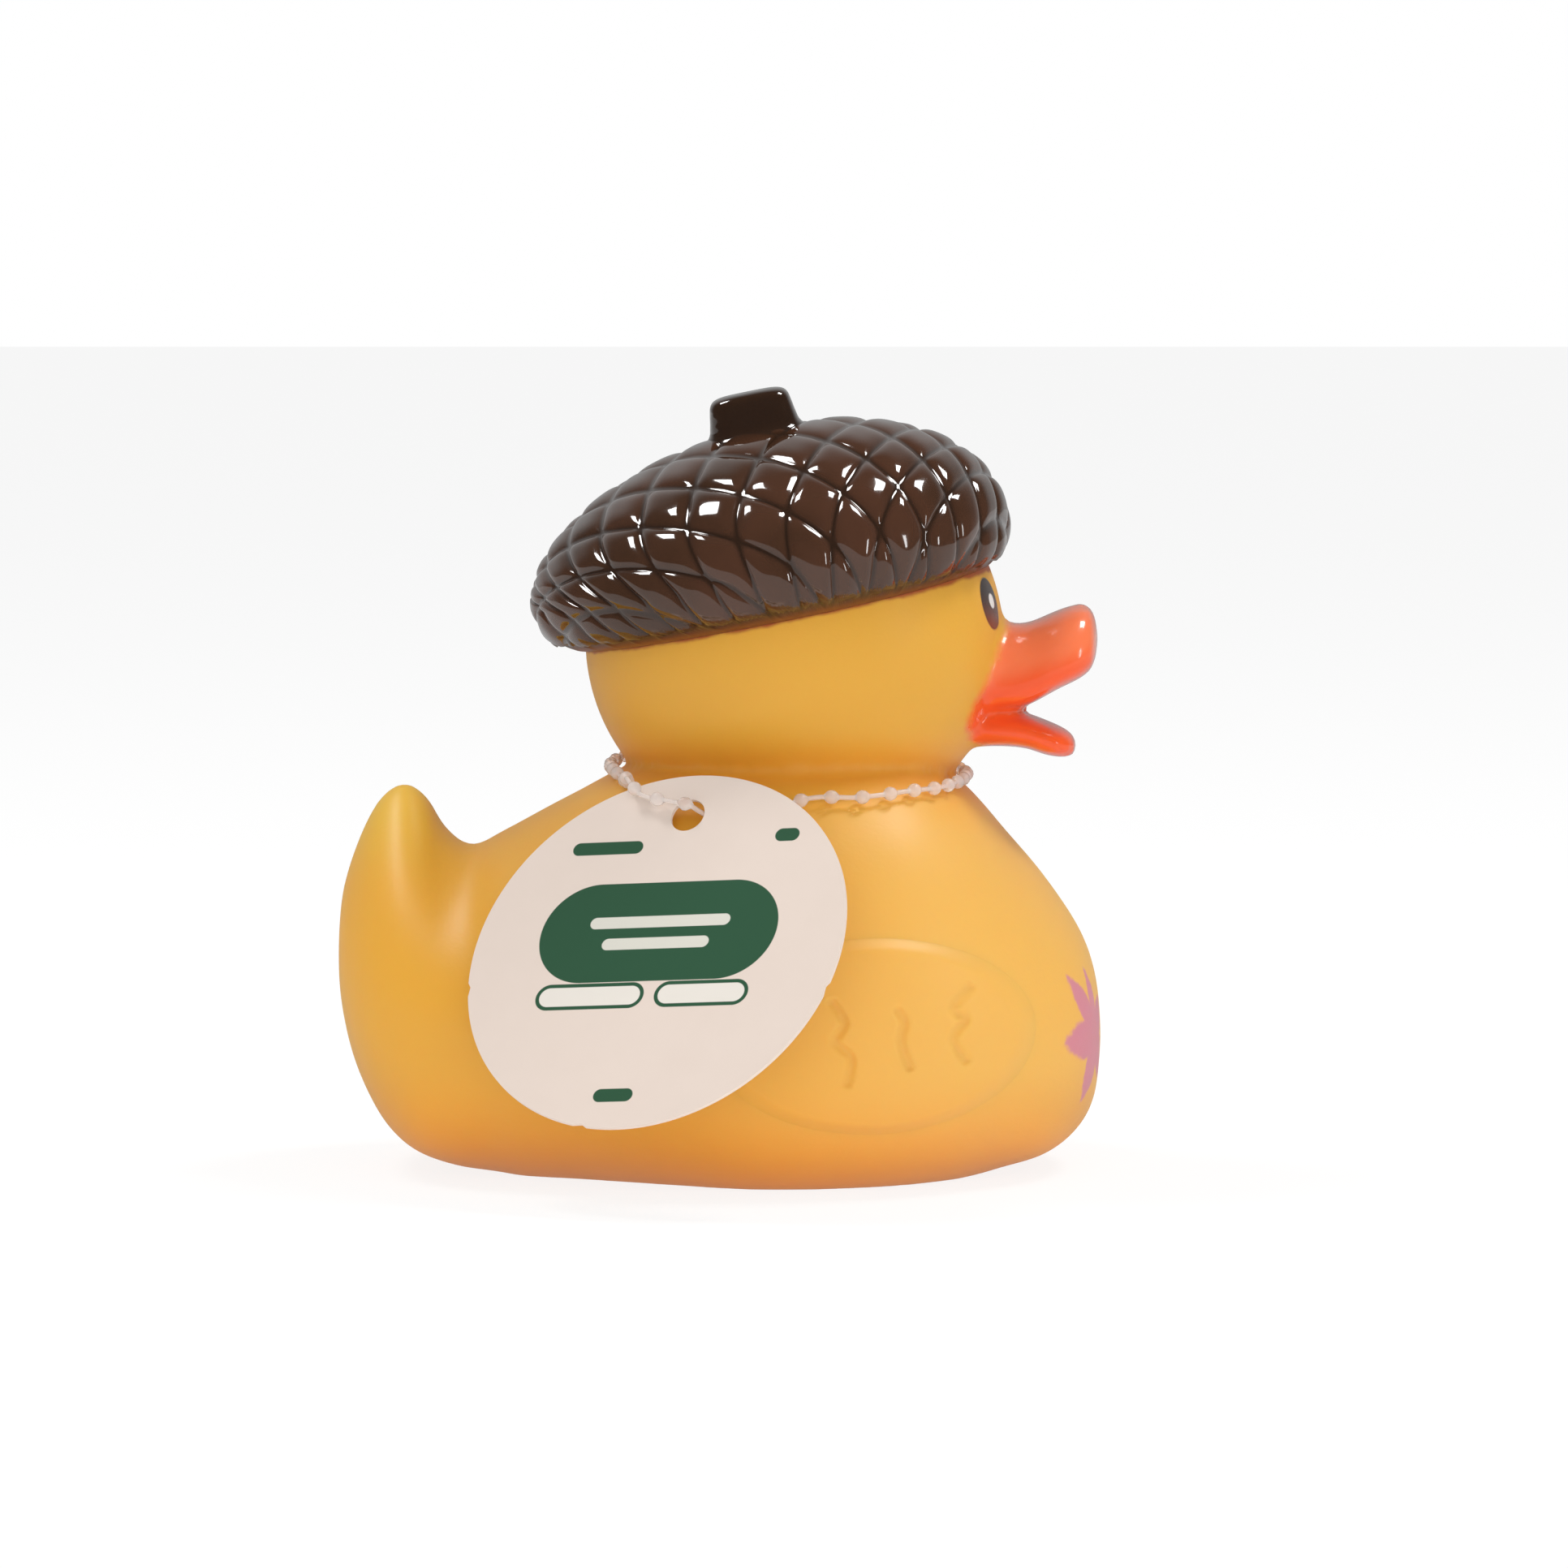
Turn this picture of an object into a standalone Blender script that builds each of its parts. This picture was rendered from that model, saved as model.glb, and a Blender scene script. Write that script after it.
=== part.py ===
"""Rubber duck in an acorn cap, with a round hang tag on a beaded loop.

Metres, +Z up. The duck faces +X and sits on its flat base at Z = 0.
The origin is on the base, a little behind the middle of the head.
"""
from math import atan2, ceil, cos, pi, radians, sin, sqrt

import bmesh
import bpy
from mathutils import Matrix, Vector

MM = 0.001

# Body, a vinyl hull from the tail to the chest
BODY_LENGTH = 94.0 * MM
BODY_REAR = -0.5138 * BODY_LENGTH
BODY_WIDTH = 74.0 * MM
SHOULDER_HEIGHT = 53.5 * MM
TAIL_HEIGHT = 47.3 * MM
SADDLE_HEIGHT = 39.6 * MM
BASE_SINK = 1.5 * MM
WALL = 2.0 * MM

# Head, nearly a ball, sunk into the shoulders
HEAD_X = BODY_REAR + 0.598 * BODY_LENGTH
HEAD_HEIGHT = 65.0 * MM
HEAD_LENGTH = 51.5 * MM
HEAD_WIDTH = 49.6 * MM
HEAD_DEPTH = 49.6 * MM

# Cap, a domed acorn cup worn nose up
CAP_TILT = radians(11.5)
CAP_X = HEAD_X - 0.4 * MM
CAP_RIM_HEIGHT = HEAD_HEIGHT + 3.9 * MM
CAP_FRONT = 27.9 * MM
CAP_REAR = 30.7 * MM
CAP_SIDE = 28.8 * MM
CAP_HEIGHT = 22.0 * MM
CAP_LIP = 6.0 * MM
CAP_TUCK = 5.0 * MM
TILE_ACROSS = 6.2 * MM
TILE_ALONG = 7.3 * MM
TILE_RISE = 0.7 * MM
GROOVE_SHARE = 0.17

# Stem on top of the cap
STEM_LENGTH = 10.8 * MM
STEM_WIDTH = 9.0 * MM
STEM_RISE = 5.0 * MM
STEM_TAPER = 0.87
STEM_EDGE = 0.9 * MM

# Bill, two open halves
BILL_ROOT = HEAD_X + 0.4 * HEAD_LENGTH
UPPER_BILL_TIP = HEAD_X + 37.4 * MM
UPPER_BILL_HALF = 9.8 * MM
LOWER_BILL_TIP = HEAD_X + 34.9 * MM
LOWER_BILL_HALF = 7.8 * MM

# Wings, low domes on the flanks
WING_X = BODY_REAR + 0.698 * BODY_LENGTH
WING_HEIGHT = 18.4 * MM
WING_LENGTH = 40.6 * MM
WING_DEPTH = 24.3 * MM
WING_RISE = 1.0 * MM
WING_ROOT = 1.2 * MM

# Squeaker in the base
SQUEAKER_X = BODY_REAR + 0.3436 * BODY_LENGTH
SQUEAKER_BORE = 9.0 * MM
SQUEAKER_RIM = 12.0 * MM
SQUEAKER_RIM_THICK = 0.8 * MM
SQUEAKER_TALL = 6.5 * MM
SQUEAKER_WALL = 1.0 * MM
SQUEAKER_VENT = 2.6 * MM
REED_LENGTH = 4.6 * MM
REED_WIDTH = 2.4 * MM
REED_THICK = 0.3 * MM
FIT = 0.3 * MM

# Beaded loop: its plan is in shares of the head's length and width, and its way through the tag in beads
LOOP_STRAND = 0.8 * MM
LOOP_BEAD = 1.7 * MM
LOOP_PITCH = 3.8 * MM
LOOP_PLAN = [
    (0.031, -0.536), (0.140, -0.516), (0.210, -0.484), (0.276, -0.431), (0.334, -0.359),
    (0.373, -0.270), (0.398, -0.169), (0.408, -0.060), (0.412, 0.060), (0.388, 0.185),
    (0.315, 0.294), (0.217, 0.383), (0.097, 0.431), (-0.027, 0.440), (-0.155, 0.411),
    (-0.272, 0.343), (-0.361, 0.246), (-0.416, 0.133), (-0.439, 0.012), (-0.435, -0.113),
    (-0.419, -0.226), (-0.394, -0.335),
]
LOOP_OVER_RIM = (-5.24, -0.35, 0.71)
LOOP_BEFORE = [(-3.59, 1.35, 0.94), (-1.41, 0.76, 0.94), (0.12, 0.53, 0.71)]
LOOP_BEHIND = [(0.71, 0.41, 0.0), (1.35, 0.41, -0.76), (3.65, 0.59, -1.53)]

# Round card tag that hangs on the loop and leans on the flank
TAG_DIAMETER = 49.0 * MM
TAG_THICK = 0.45 * MM
TAG_HOLE = 4.4 * MM
TAG_HOLE_EDGE = 5.6 * MM
TAG_HOLE_X = HEAD_X - 0.2485 * HEAD_LENGTH
TAG_HOLE_HEIGHT = HEAD_HEIGHT - 0.391 * HEAD_DEPTH
TAG_LEAN = 0.9 * MM
TAG_UP = Vector((0.198, 0.555, 0.808))
TAG_FACING = Vector((-0.383, -0.715, 0.585))

SIDES = 36
RINGS = 32
RIM_SIDES = 48
LOOP_SIDES = 5
RINGS_PER_BEAD = 6


def clear_scene():
    for obj in list(bpy.data.objects):
        bpy.data.objects.remove(obj, do_unlink=True)


def material(name, colour, roughness, metallic=0.0):
    mat = bpy.data.materials.new(name)
    mat.use_nodes = True
    shader = mat.node_tree.nodes["Principled BSDF"]
    shader.inputs["Base Color"].default_value = (*colour, 1.0)
    shader.inputs["Roughness"].default_value = roughness
    shader.inputs["Metallic"].default_value = metallic
    return mat


def finish(bm, name, mat):
    """Turn a bmesh into a named object with its material and smooth sides."""
    bmesh.ops.recalc_face_normals(bm, faces=bm.faces)
    mesh = bpy.data.meshes.new(name)
    bm.to_mesh(mesh)
    bm.free()
    obj = bpy.data.objects.new(name, mesh)
    bpy.context.scene.collection.objects.link(obj)
    mesh.materials.append(mat)
    mesh.shade_smooth()
    mesh.set_sharp_from_angle(angle=radians(35))
    return obj


def guide(obj):
    """Mark an object as one that only shapes another."""
    obj.hide_render = True
    obj.display_type = "WIRE"
    return obj


def combine(target, other, operation):
    """Join a guide to the target, or cut it away."""
    step = target.modifiers.new(other.name, "BOOLEAN")
    step.operation = operation
    step.solver = "EXACT"
    step.object = guide(other)


def wrap_grid(around, along, place):
    """Wrap a flat grid into a closed skin, welded at its seam and poles."""
    bm = bmesh.new()
    bmesh.ops.create_grid(bm, x_segments=around, y_segments=along, size=0.5)
    for vert in bm.verts:
        vert.co = place(vert.co.x + 0.5, vert.co.y + 0.5)
    bmesh.ops.remove_doubles(bm, verts=bm.verts, dist=0.00001)
    return bm


def smooth_row(rows, t):
    """Value at t, 0 to 1, on the smooth curve through evenly numbered rows."""
    place = t * (len(rows) - 1)
    i = min(int(place), len(rows) - 2)
    f = place - i
    before, a, b, after = (rows[max(0, min(len(rows) - 1, k))] for k in (i - 1, i, i + 1, i + 2))
    return [
        0.5 * (2 * q + (r - p) * f + (2 * p - 5 * q + 4 * r - s) * f * f + (3 * q - p - 3 * r + s) * f ** 3)
        for p, q, r, s in zip(before, a, b, after)
    ]


def section_point(turn, top, bottom, half_width, widest, pinch, upper, lower):
    """A point of a section that stands between two rail points, pinched in towards its top."""
    side, up = sin(turn), cos(turn)
    power, reach = (upper, top[1] - widest) if up >= 0 else (lower, bottom[1] - widest)
    rise = abs(up) ** (2 / power)
    y = half_width * abs(side) ** (2 / power) * (1 if side >= 0 else -1)
    if up > 0:
        y *= 1 - pinch * rise ** 2
    z = widest + reach * rise
    share = (top[1] - z) / (top[1] - bottom[1]) if top[1] != bottom[1] else 0.0
    return Vector((top[0] + (bottom[0] - top[0]) * share, y, z))


def body_stations():
    """Sections from tail to chest.

    Each row: top rail as a share of the length and a height, bottom rail the same,
    half width as a share of the widest, height of the widest point, pinch towards the
    top, upper and lower fullness of the section.
    """
    tail, saddle, top, floor = TAIL_HEIGHT, SADDLE_HEIGHT, SHOULDER_HEIGHT, -BASE_SINK
    arch = top - saddle
    return [
        (0.000, 0.57 * tail, 0.000, 0.57 * tail, 0.00, 0.57 * tail, 0.00, 2.00, 2.0),
        (0.006, 0.72 * tail, 0.004, 0.44 * tail, 0.22, 0.55 * tail, 0.15, 2.00, 2.2),
        (0.028, 0.86 * tail, 0.018, 0.31 * tail, 0.37, 0.50 * tail, 0.35, 2.00, 2.4),
        (0.055, 0.96 * tail, 0.040, 0.20 * tail, 0.49, 0.47 * tail, 0.50, 2.00, 2.5),
        (0.086, tail, 0.068, 0.11 * tail, 0.58, 0.45 * tail, 0.56, 2.00, 2.6),
        (0.115, 0.965 * tail, 0.105, 0.05 * tail, 0.65, 0.43 * tail, 0.54, 2.00, 2.8),
        (0.140, 0.885 * tail, 0.156, 0.012 * tail, 0.71, 0.42 * tail, 0.42, 2.00, 3.0),
        (0.174, saddle, 0.212, 0.2 * floor, 0.77, 0.41 * tail, 0.20, 2.05, 3.0),
        (0.218, saddle + 0.13 * arch, 0.250, floor, 0.83, 0.40 * tail, 0.05, 2.20, 3.0),
        (0.305, saddle + 0.44 * arch, 0.330, floor, 0.92, 0.39 * tail, 0.00, 2.35, 3.0),
        (0.420, saddle + 0.81 * arch, 0.430, floor, 0.98, 0.38 * tail, 0.00, 2.45, 3.0),
        (0.580, top, 0.560, floor, 1.00, 0.37 * tail, 0.00, 2.50, 3.0),
        (0.720, saddle + 0.93 * arch, 0.690, floor, 0.96, 0.36 * tail, 0.00, 2.45, 3.0),
        (0.810, saddle + 0.60 * arch, 0.790, floor, 0.87, 0.35 * tail, 0.00, 2.35, 3.0),
        (0.880, saddle + 0.09 * arch, 0.865, 0.004 * tail, 0.74, 0.35 * tail, 0.00, 2.25, 2.8),
        (0.930, 0.745 * tail, 0.925, 0.040 * tail, 0.60, 0.34 * tail, 0.00, 2.15, 2.5),
        (0.974, 0.610 * tail, 0.967, 0.100 * tail, 0.44, 0.34 * tail, 0.00, 2.05, 2.3),
        (0.994, 0.485 * tail, 0.991, 0.185 * tail, 0.25, 0.34 * tail, 0.00, 2.00, 2.0),
        (1.000, 0.335 * tail, 1.000, 0.335 * tail, 0.00, 0.335 * tail, 0.00, 2.00, 2.0),
    ]


def body_point(u, v, inset=0.0):
    """Point of the body skin: u goes round from the underside, v from tail to chest."""
    row = smooth_row(body_stations(), v)
    top = (BODY_REAR + row[0] * BODY_LENGTH, row[1] - inset)
    bottom = (BODY_REAR + row[2] * BODY_LENGTH, row[3] + inset)
    half = max(0.0, row[4]) * BODY_WIDTH / 2 - inset
    return section_point(2 * pi * u - pi, top, bottom, half, *row[5:])


def body_hull(mat):
    bm = wrap_grid(SIDES, RINGS, body_point)
    cut = bmesh.ops.bisect_plane(
        bm, geom=bm.verts[:] + bm.edges[:] + bm.faces[:], dist=0.00001,
        plane_co=(0, 0, 0), plane_no=(0, 0, -1), clear_outer=True)
    rim = [e for e in cut["geom_cut"] if isinstance(e, bmesh.types.BMEdge)]
    bmesh.ops.contextual_create(bm, geom=rim)
    return finish(bm, "duck_body", mat)


def hollow_body(mat):
    """The space inside the body, a wall thickness in, from the tail root to the chest."""
    first, last = 0.36, 0.93
    floor = WALL

    def place(u, v):
        point = body_point(u, first + (last - first) * v, WALL * 1.15)
        point.z = max(point.z, floor)
        return point

    bm = wrap_grid(SIDES // 2, 14, place)
    bmesh.ops.holes_fill(bm, edges=[e for e in bm.edges if e.is_boundary])
    return finish(bm, "hollow_body", mat)


def ball(name, mat, centre, size, around, rings, lower=1.0):
    """An ellipsoid, whose lower half may be flatter than its upper one."""
    bm = bmesh.new()
    bmesh.ops.create_uvsphere(bm, u_segments=around, v_segments=rings, radius=0.5)
    for vert in bm.verts:
        if vert.co.z < 0:
            vert.co.z *= lower
    bmesh.ops.scale(bm, vec=size, verts=bm.verts)
    obj = finish(bm, name, mat)
    obj.location = centre
    return obj


def head(mat):
    centre = (HEAD_X, 0, HEAD_HEIGHT)
    size = (HEAD_LENGTH, HEAD_WIDTH, HEAD_DEPTH)
    return ball("head_ball", mat, centre, size, SIDES, 20)


def hollow_head(mat):
    centre = (HEAD_X, 0, HEAD_HEIGHT)
    size = tuple(side - 2.2 * WALL for side in (HEAD_LENGTH, HEAD_WIDTH, HEAD_DEPTH))
    return ball("hollow_head", mat, centre, size, SIDES // 2, 12)


def cap_frame():
    """Place and tilt of the cap: its own Z is the axis of the stem."""
    return Matrix.Translation((CAP_X, 0, CAP_RIM_HEIGHT)) @ Matrix.Rotation(-CAP_TILT, 4, "Y")


def cap_quarter():
    """Length of the cap's upper curve from the apex to its widest ring."""
    tall = CAP_HEIGHT - CAP_LIP
    wide = (CAP_FRONT + CAP_REAR) / 2
    return 1.03 * pi / 2 * sqrt((tall ** 2 + wide ** 2) / 2)


def cap_point(heading, run):
    """Point of the cap, and how far it faces outwards there.

    heading is the angle round the stem; run is the length of skin from the apex.
    """
    front = cos(heading)
    reach = CAP_FRONT if front > 0 else CAP_REAR
    fullness = 2.02 + 0.18 * front
    quarter = cap_quarter()
    curl = pi / 2 * (CAP_LIP + CAP_TUCK) / 2
    if run <= quarter:
        angle = run / quarter * pi / 2
        out = sin(angle) ** (2 / fullness)
        high = CAP_LIP + (CAP_HEIGHT - CAP_LIP) * cos(angle) ** (2 / fullness)
    else:
        angle = min(1.0, (run - quarter) / curl) * pi / 2
        out = 1 - CAP_TUCK / CAP_SIDE * (1 - cos(angle))
        high = CAP_LIP * (1 - sin(angle))
    return Vector((reach * out * front, CAP_SIDE * out * sin(heading), high))


def cap_run():
    return cap_quarter() + pi / 2 * (CAP_LIP + CAP_TUCK) / 2


def lattice_point(i, j):
    """Where two grooves of the slanted grid cross, on the cap's skin laid flat."""
    cross = radians(61)
    along_a = Vector((cos(radians(-108)), sin(radians(-108)))) * TILE_ALONG / sin(cross)
    along_b = Vector((cos(radians(-47)), sin(radians(-47)))) * TILE_ACROSS / sin(cross)
    start = Vector((-2.3, -0.9)) * MM
    return start + along_a * i + along_b * j


def pillow_share(part):
    """Spread the lines of a tile so that its grooves are narrow."""
    whole = int(part // 3)
    step = round(part - 3 * whole)
    return whole + (0.0, GROOVE_SHARE, 1 - GROOVE_SHARE)[step], step != 0


def cap_skin(mat):
    """The dome of quilted tiles: a flat grid of tiles laid over the cap and drawn to its rim."""
    reach = cap_run()
    tiles = 2 * ceil(reach / min(TILE_ACROSS, TILE_ALONG) * 1.1)
    bm = bmesh.new()
    bmesh.ops.create_grid(bm, x_segments=3 * tiles, y_segments=3 * tiles, size=0.5)
    raised = bm.verts.layers.int.new("raised")
    for vert in bm.verts:
        i, inner_i = pillow_share(round((vert.co.x + 0.5) * 3 * tiles))
        j, inner_j = pillow_share(round((vert.co.y + 0.5) * 3 * tiles))
        flat = lattice_point(i - tiles / 2, j - tiles / 2)
        vert.co = (flat.x, flat.y, 0)
        vert[raised] = int(inner_i and inner_j)
    for k in range(RIM_SIDES):
        turn = 2 * pi * (k + 0.5) / RIM_SIDES
        facing = (cos(turn), sin(turn), 0)
        bmesh.ops.bisect_plane(
            bm, geom=bm.verts[:] + bm.edges[:] + bm.faces[:], dist=0.00001,
            plane_co=[reach * side for side in facing], plane_no=facing, clear_outer=True)
    for vert in bm.verts:
        run = vert.co.length
        heading = atan2(vert.co.y, vert.co.x)
        rise = TILE_RISE if vert[raised] and run < reach * 0.93 else 0.0
        vert.co = cap_point(heading, run) + cap_normal(heading, run) * rise
    bmesh.ops.remove_doubles(bm, verts=bm.verts, dist=0.00005)
    rim = [e for e in bm.edges if e.is_boundary]
    tuck = bmesh.ops.extrude_edge_only(bm, edges=rim)["geom"]
    inner = [v for v in tuck if isinstance(v, bmesh.types.BMVert)]
    bmesh.ops.scale(bm, vec=(0.75, 0.75, 1), verts=inner)
    bmesh.ops.holes_fill(bm, edges=[e for e in bm.edges if e.is_boundary])
    bmesh.ops.transform(bm, matrix=cap_frame(), verts=bm.verts)
    return finish(bm, "cap_dome", mat)


def cap_normal(heading, run):
    """Outward direction of the cap's skin, from its neighbours."""
    step = 0.2 * MM
    run = max(run, 2 * step)
    down = cap_point(heading, run + step) - cap_point(heading, run - step)
    turn = step / max(run, 4 * step)
    round_ = cap_point(heading + turn, run) - cap_point(heading - turn, run)
    normal = down.cross(round_).normalized()
    return normal if normal.z > 0 or normal.dot(Vector((cos(heading), sin(heading), 0))) > 0 else -normal


def stem(mat):
    bm = bmesh.new()
    foot = CAP_HEIGHT - 1.5 * MM
    tall = STEM_RISE + 1.5 * MM
    bmesh.ops.create_cube(bm, size=1.0)
    bmesh.ops.scale(bm, vec=(STEM_LENGTH, STEM_WIDTH, tall), verts=bm.verts)
    bmesh.ops.translate(bm, vec=(0, 0, foot + tall / 2), verts=bm.verts)
    top = [v for v in bm.verts if v.co.z > foot + tall / 2]
    bmesh.ops.scale(bm, vec=(STEM_TAPER, STEM_TAPER, 1), verts=top)
    bmesh.ops.bevel(
        bm, geom=bm.edges[:], offset=STEM_EDGE, segments=3, profile=0.5, affect="EDGES", material=-1)
    bmesh.ops.transform(bm, matrix=cap_frame(), verts=bm.verts)
    return finish(bm, "cap_stem", mat)


def hollow_cap(mat):
    """The space inside the cap, flat below so that the lip keeps its wall."""
    length = CAP_FRONT + CAP_REAR - 2.6 * WALL
    tall = 2 * (CAP_HEIGHT - CAP_LIP - 1.4 * WALL)
    centre = cap_frame() @ Vector(((CAP_FRONT - CAP_REAR) / 2, 0, CAP_LIP))
    lower = (CAP_LIP - 1.3 * WALL) * 2 / tall
    obj = ball("hollow_cap", mat, centre, (length, 2 * CAP_SIDE - 2.6 * WALL, tall), SIDES // 2, 12, lower)
    obj.rotation_euler = (0, -CAP_TILT, 0)
    return obj


def bill_half(name, mat, rows, tip, half):
    """One half of the bill.

    Rows give the share forwards, lower and upper height from the middle of the head in mm,
    and the share of the width.
    """
    def place(u, v):
        forward, low, high, width = smooth_row(rows, v)
        x = BILL_ROOT + (tip - BILL_ROOT) * forward
        turn = 2 * pi * u
        y = half * max(0.0, width) * abs(sin(turn)) ** 0.8 * (1 if sin(turn) >= 0 else -1)
        middle, deep = HEAD_HEIGHT + (low + high) / 2 * MM, (high - low) / 2 * MM
        z = middle - deep * abs(cos(turn)) ** 0.9 * (1 if cos(turn) >= 0 else -1)
        return Vector((x, y, z))
    bm = wrap_grid(20, 12, place)
    bmesh.ops.holes_fill(bm, edges=[e for e in bm.edges if e.is_boundary])
    return finish(bm, name, mat)


def upper_bill(mat):
    rows = [
        (0.00, -9.0, 1.2, 0.86), (0.30, -8.6, 2.0, 0.92), (0.48, -7.9, 2.1, 0.96), (0.70, -5.9, 3.6, 1.00),
        (0.86, -4.6, 4.4, 0.90), (0.955, -3.1, 3.7, 0.68), (1.00, 0.2, 0.2, 0.0),
    ]
    return bill_half("upper_bill", mat, rows, UPPER_BILL_TIP, UPPER_BILL_HALF)


def lower_bill(mat):
    rows = [
        (0.00, -13.1, -8.6, 0.92), (0.36, -13.0, -8.6, 1.00), (0.56, -13.3, -9.1, 1.00), (0.70, -14.0, -9.8, 0.96),
        (0.85, -14.4, -10.7, 0.84), (0.95, -14.2, -11.6, 0.60), (1.00, -12.9, -12.9, 0.0),
    ]
    return bill_half("lower_bill", mat, rows, LOWER_BILL_TIP, LOWER_BILL_HALF)


def flank(x, z):
    """Half width of the body at a place on its side."""
    rows = body_stations()
    low, high = 0.0, 1.0
    for _ in range(24):
        v = (low + high) / 2
        row = smooth_row(rows, v)
        share = (row[1] - z) / (row[1] - row[3])
        here = BODY_REAR + (row[0] + (row[2] - row[0]) * share) * BODY_LENGTH
        low, high = (v, high) if here < x else (low, v)
    widest, pinch, upper, lower = row[5:]
    above = z >= widest
    power, reach = (upper, row[1] - widest) if above else (lower, widest - row[3])
    rise = min(1.0, abs(z - widest) / reach)
    half = row[4] * BODY_WIDTH / 2 * (1 - rise ** power) ** (1 / power)
    return half * (1 - pinch * rise ** 2) if above else half


def shoulder(x, y):
    """Height of the body's upper side at a place in plan."""
    low, high = WING_HEIGHT, SHOULDER_HEIGHT * 1.02
    for _ in range(20):
        z = (low + high) / 2
        low, high = (z, high) if flank(x, z) > abs(y) else (low, z)
    return z


def wing(name, mat, side):
    """A low dome that follows the flank."""
    def place(u, v):
        turn, out = 2 * pi * u, sin(pi * v)
        x = WING_X + WING_LENGTH / 2 * out * cos(turn)
        z = WING_HEIGHT + WING_DEPTH / 2 * out * sin(turn)
        rise = WING_RISE * (1 - out ** 4) if v > 0.5 else -WING_ROOT
        return Vector((x, side * (flank(x, z) + rise), z))
    return finish(wrap_grid(28, 8, place), name, mat)


def turned(name, mat, profile, segments=24):
    """A turned piece from a closed outline of radius and height, axis upright."""
    bm = bmesh.new()
    verts = [bm.verts.new((radius, 0, height)) for radius, height in profile]
    edges = [bm.edges.new((a, b)) for a, b in zip(verts, verts[1:] + verts[:1])]
    bmesh.ops.spin(
        bm, geom=verts + edges, cent=(0, 0, 0), axis=(0, 0, 1), angle=2 * pi, steps=segments, use_merge=True)
    bmesh.ops.remove_doubles(bm, verts=bm.verts, dist=0.000001)
    return finish(bm, name, mat)


def squeaker_cut(mat):
    """The stepped hole in the base that takes the squeaker."""
    rim, bore = SQUEAKER_RIM / 2 + FIT, SQUEAKER_BORE / 2 + FIT
    seat, low, high = SQUEAKER_RIM_THICK + 2 * FIT, -WALL, 3 * WALL
    profile = [(0, low), (rim, low), (rim, seat), (bore, seat), (bore, high), (0, high)]
    cutter = turned("squeaker_cut", mat, profile)
    cutter.location = (SQUEAKER_X, 0, 0)
    return cutter


def squeaker_plug(mat):
    low = FIT
    rim, bore, vent = SQUEAKER_RIM / 2, SQUEAKER_BORE / 2, SQUEAKER_VENT / 2
    seat = low + SQUEAKER_RIM_THICK
    inside = bore - SQUEAKER_WALL
    top = low + SQUEAKER_TALL
    profile = [
        (vent, low), (rim, low), (rim, seat), (bore, seat), (bore, top), (inside, top),
        (inside, seat + SQUEAKER_WALL), (vent, seat + SQUEAKER_WALL),
    ]
    plug = turned("squeaker_plug", mat, profile)
    plug.location = (SQUEAKER_X, 0, 0)
    return plug


def squeaker_reed(mat):
    """The thin strip inside the plug that sounds when air is pushed past it."""
    bm = bmesh.new()
    bmesh.ops.create_cube(bm, size=1.0)
    bmesh.ops.scale(bm, vec=(REED_LENGTH, REED_WIDTH, REED_THICK), verts=bm.verts)
    reed = finish(bm, "squeaker_reed", mat)
    seat = FIT + SQUEAKER_RIM_THICK + SQUEAKER_WALL
    reed.location = (SQUEAKER_X, 0, seat + FIT + REED_THICK / 2)
    return reed


def tag_frame():
    """Place of the tag: its own X is to the right, Y up the card and Z out of its face.

    The card is moved in along Y until its back is the lean gap away from the flank.
    """
    up = TAG_UP.normalized()
    right = up.cross(TAG_FACING).normalized()
    facing = right.cross(up)
    turn = Matrix((right, up, facing)).transposed().to_4x4()
    near, far = 0.0, BODY_WIDTH
    for _ in range(20):
        out = (near + far) / 2
        hole = Vector((TAG_HOLE_X, -out, TAG_HOLE_HEIGHT))
        frame = Matrix.Translation(hole - up * (TAG_DIAMETER / 2 - TAG_HOLE_EDGE)) @ turn
        gap = min(-point.y - flank(point.x, point.z) for point in card_back(frame))
        near, far = (out, far) if gap < TAG_LEAN else (near, out)
    return frame


def card_back(frame):
    """Points over the back of the card."""
    points = []
    for share in (0.4, 0.7, 1.0):
        for k in range(SIDES):
            turn = 2 * pi * k / SIDES
            reach = share * TAG_DIAMETER / 2
            points.append(frame @ Vector((reach * cos(turn), reach * sin(turn), -TAG_THICK / 2)))
    return points


def hang_tag(mat):
    """A disc of card with a punched hole."""
    bm = bmesh.new()
    outer = bmesh.ops.create_circle(bm, segments=48, radius=TAG_DIAMETER / 2)["verts"]
    hole = bmesh.ops.create_circle(bm, segments=16, radius=TAG_HOLE / 2)["verts"]
    bmesh.ops.translate(bm, vec=(0, TAG_DIAMETER / 2 - TAG_HOLE_EDGE, 0), verts=hole)
    bmesh.ops.translate(bm, vec=(0, 0, -TAG_THICK / 2), verts=outer + hole)
    bmesh.ops.triangle_fill(bm, edges=bm.edges[:], use_beauty=True, use_dissolve=False)
    lifted = bmesh.ops.extrude_face_region(bm, geom=bm.faces[:])["geom"]
    top = [v for v in lifted if isinstance(v, bmesh.types.BMVert)]
    bmesh.ops.translate(bm, vec=(0, 0, TAG_THICK), verts=top)
    bmesh.ops.transform(bm, matrix=tag_frame(), verts=bm.verts)
    return finish(bm, "hang_tag", mat)


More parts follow.
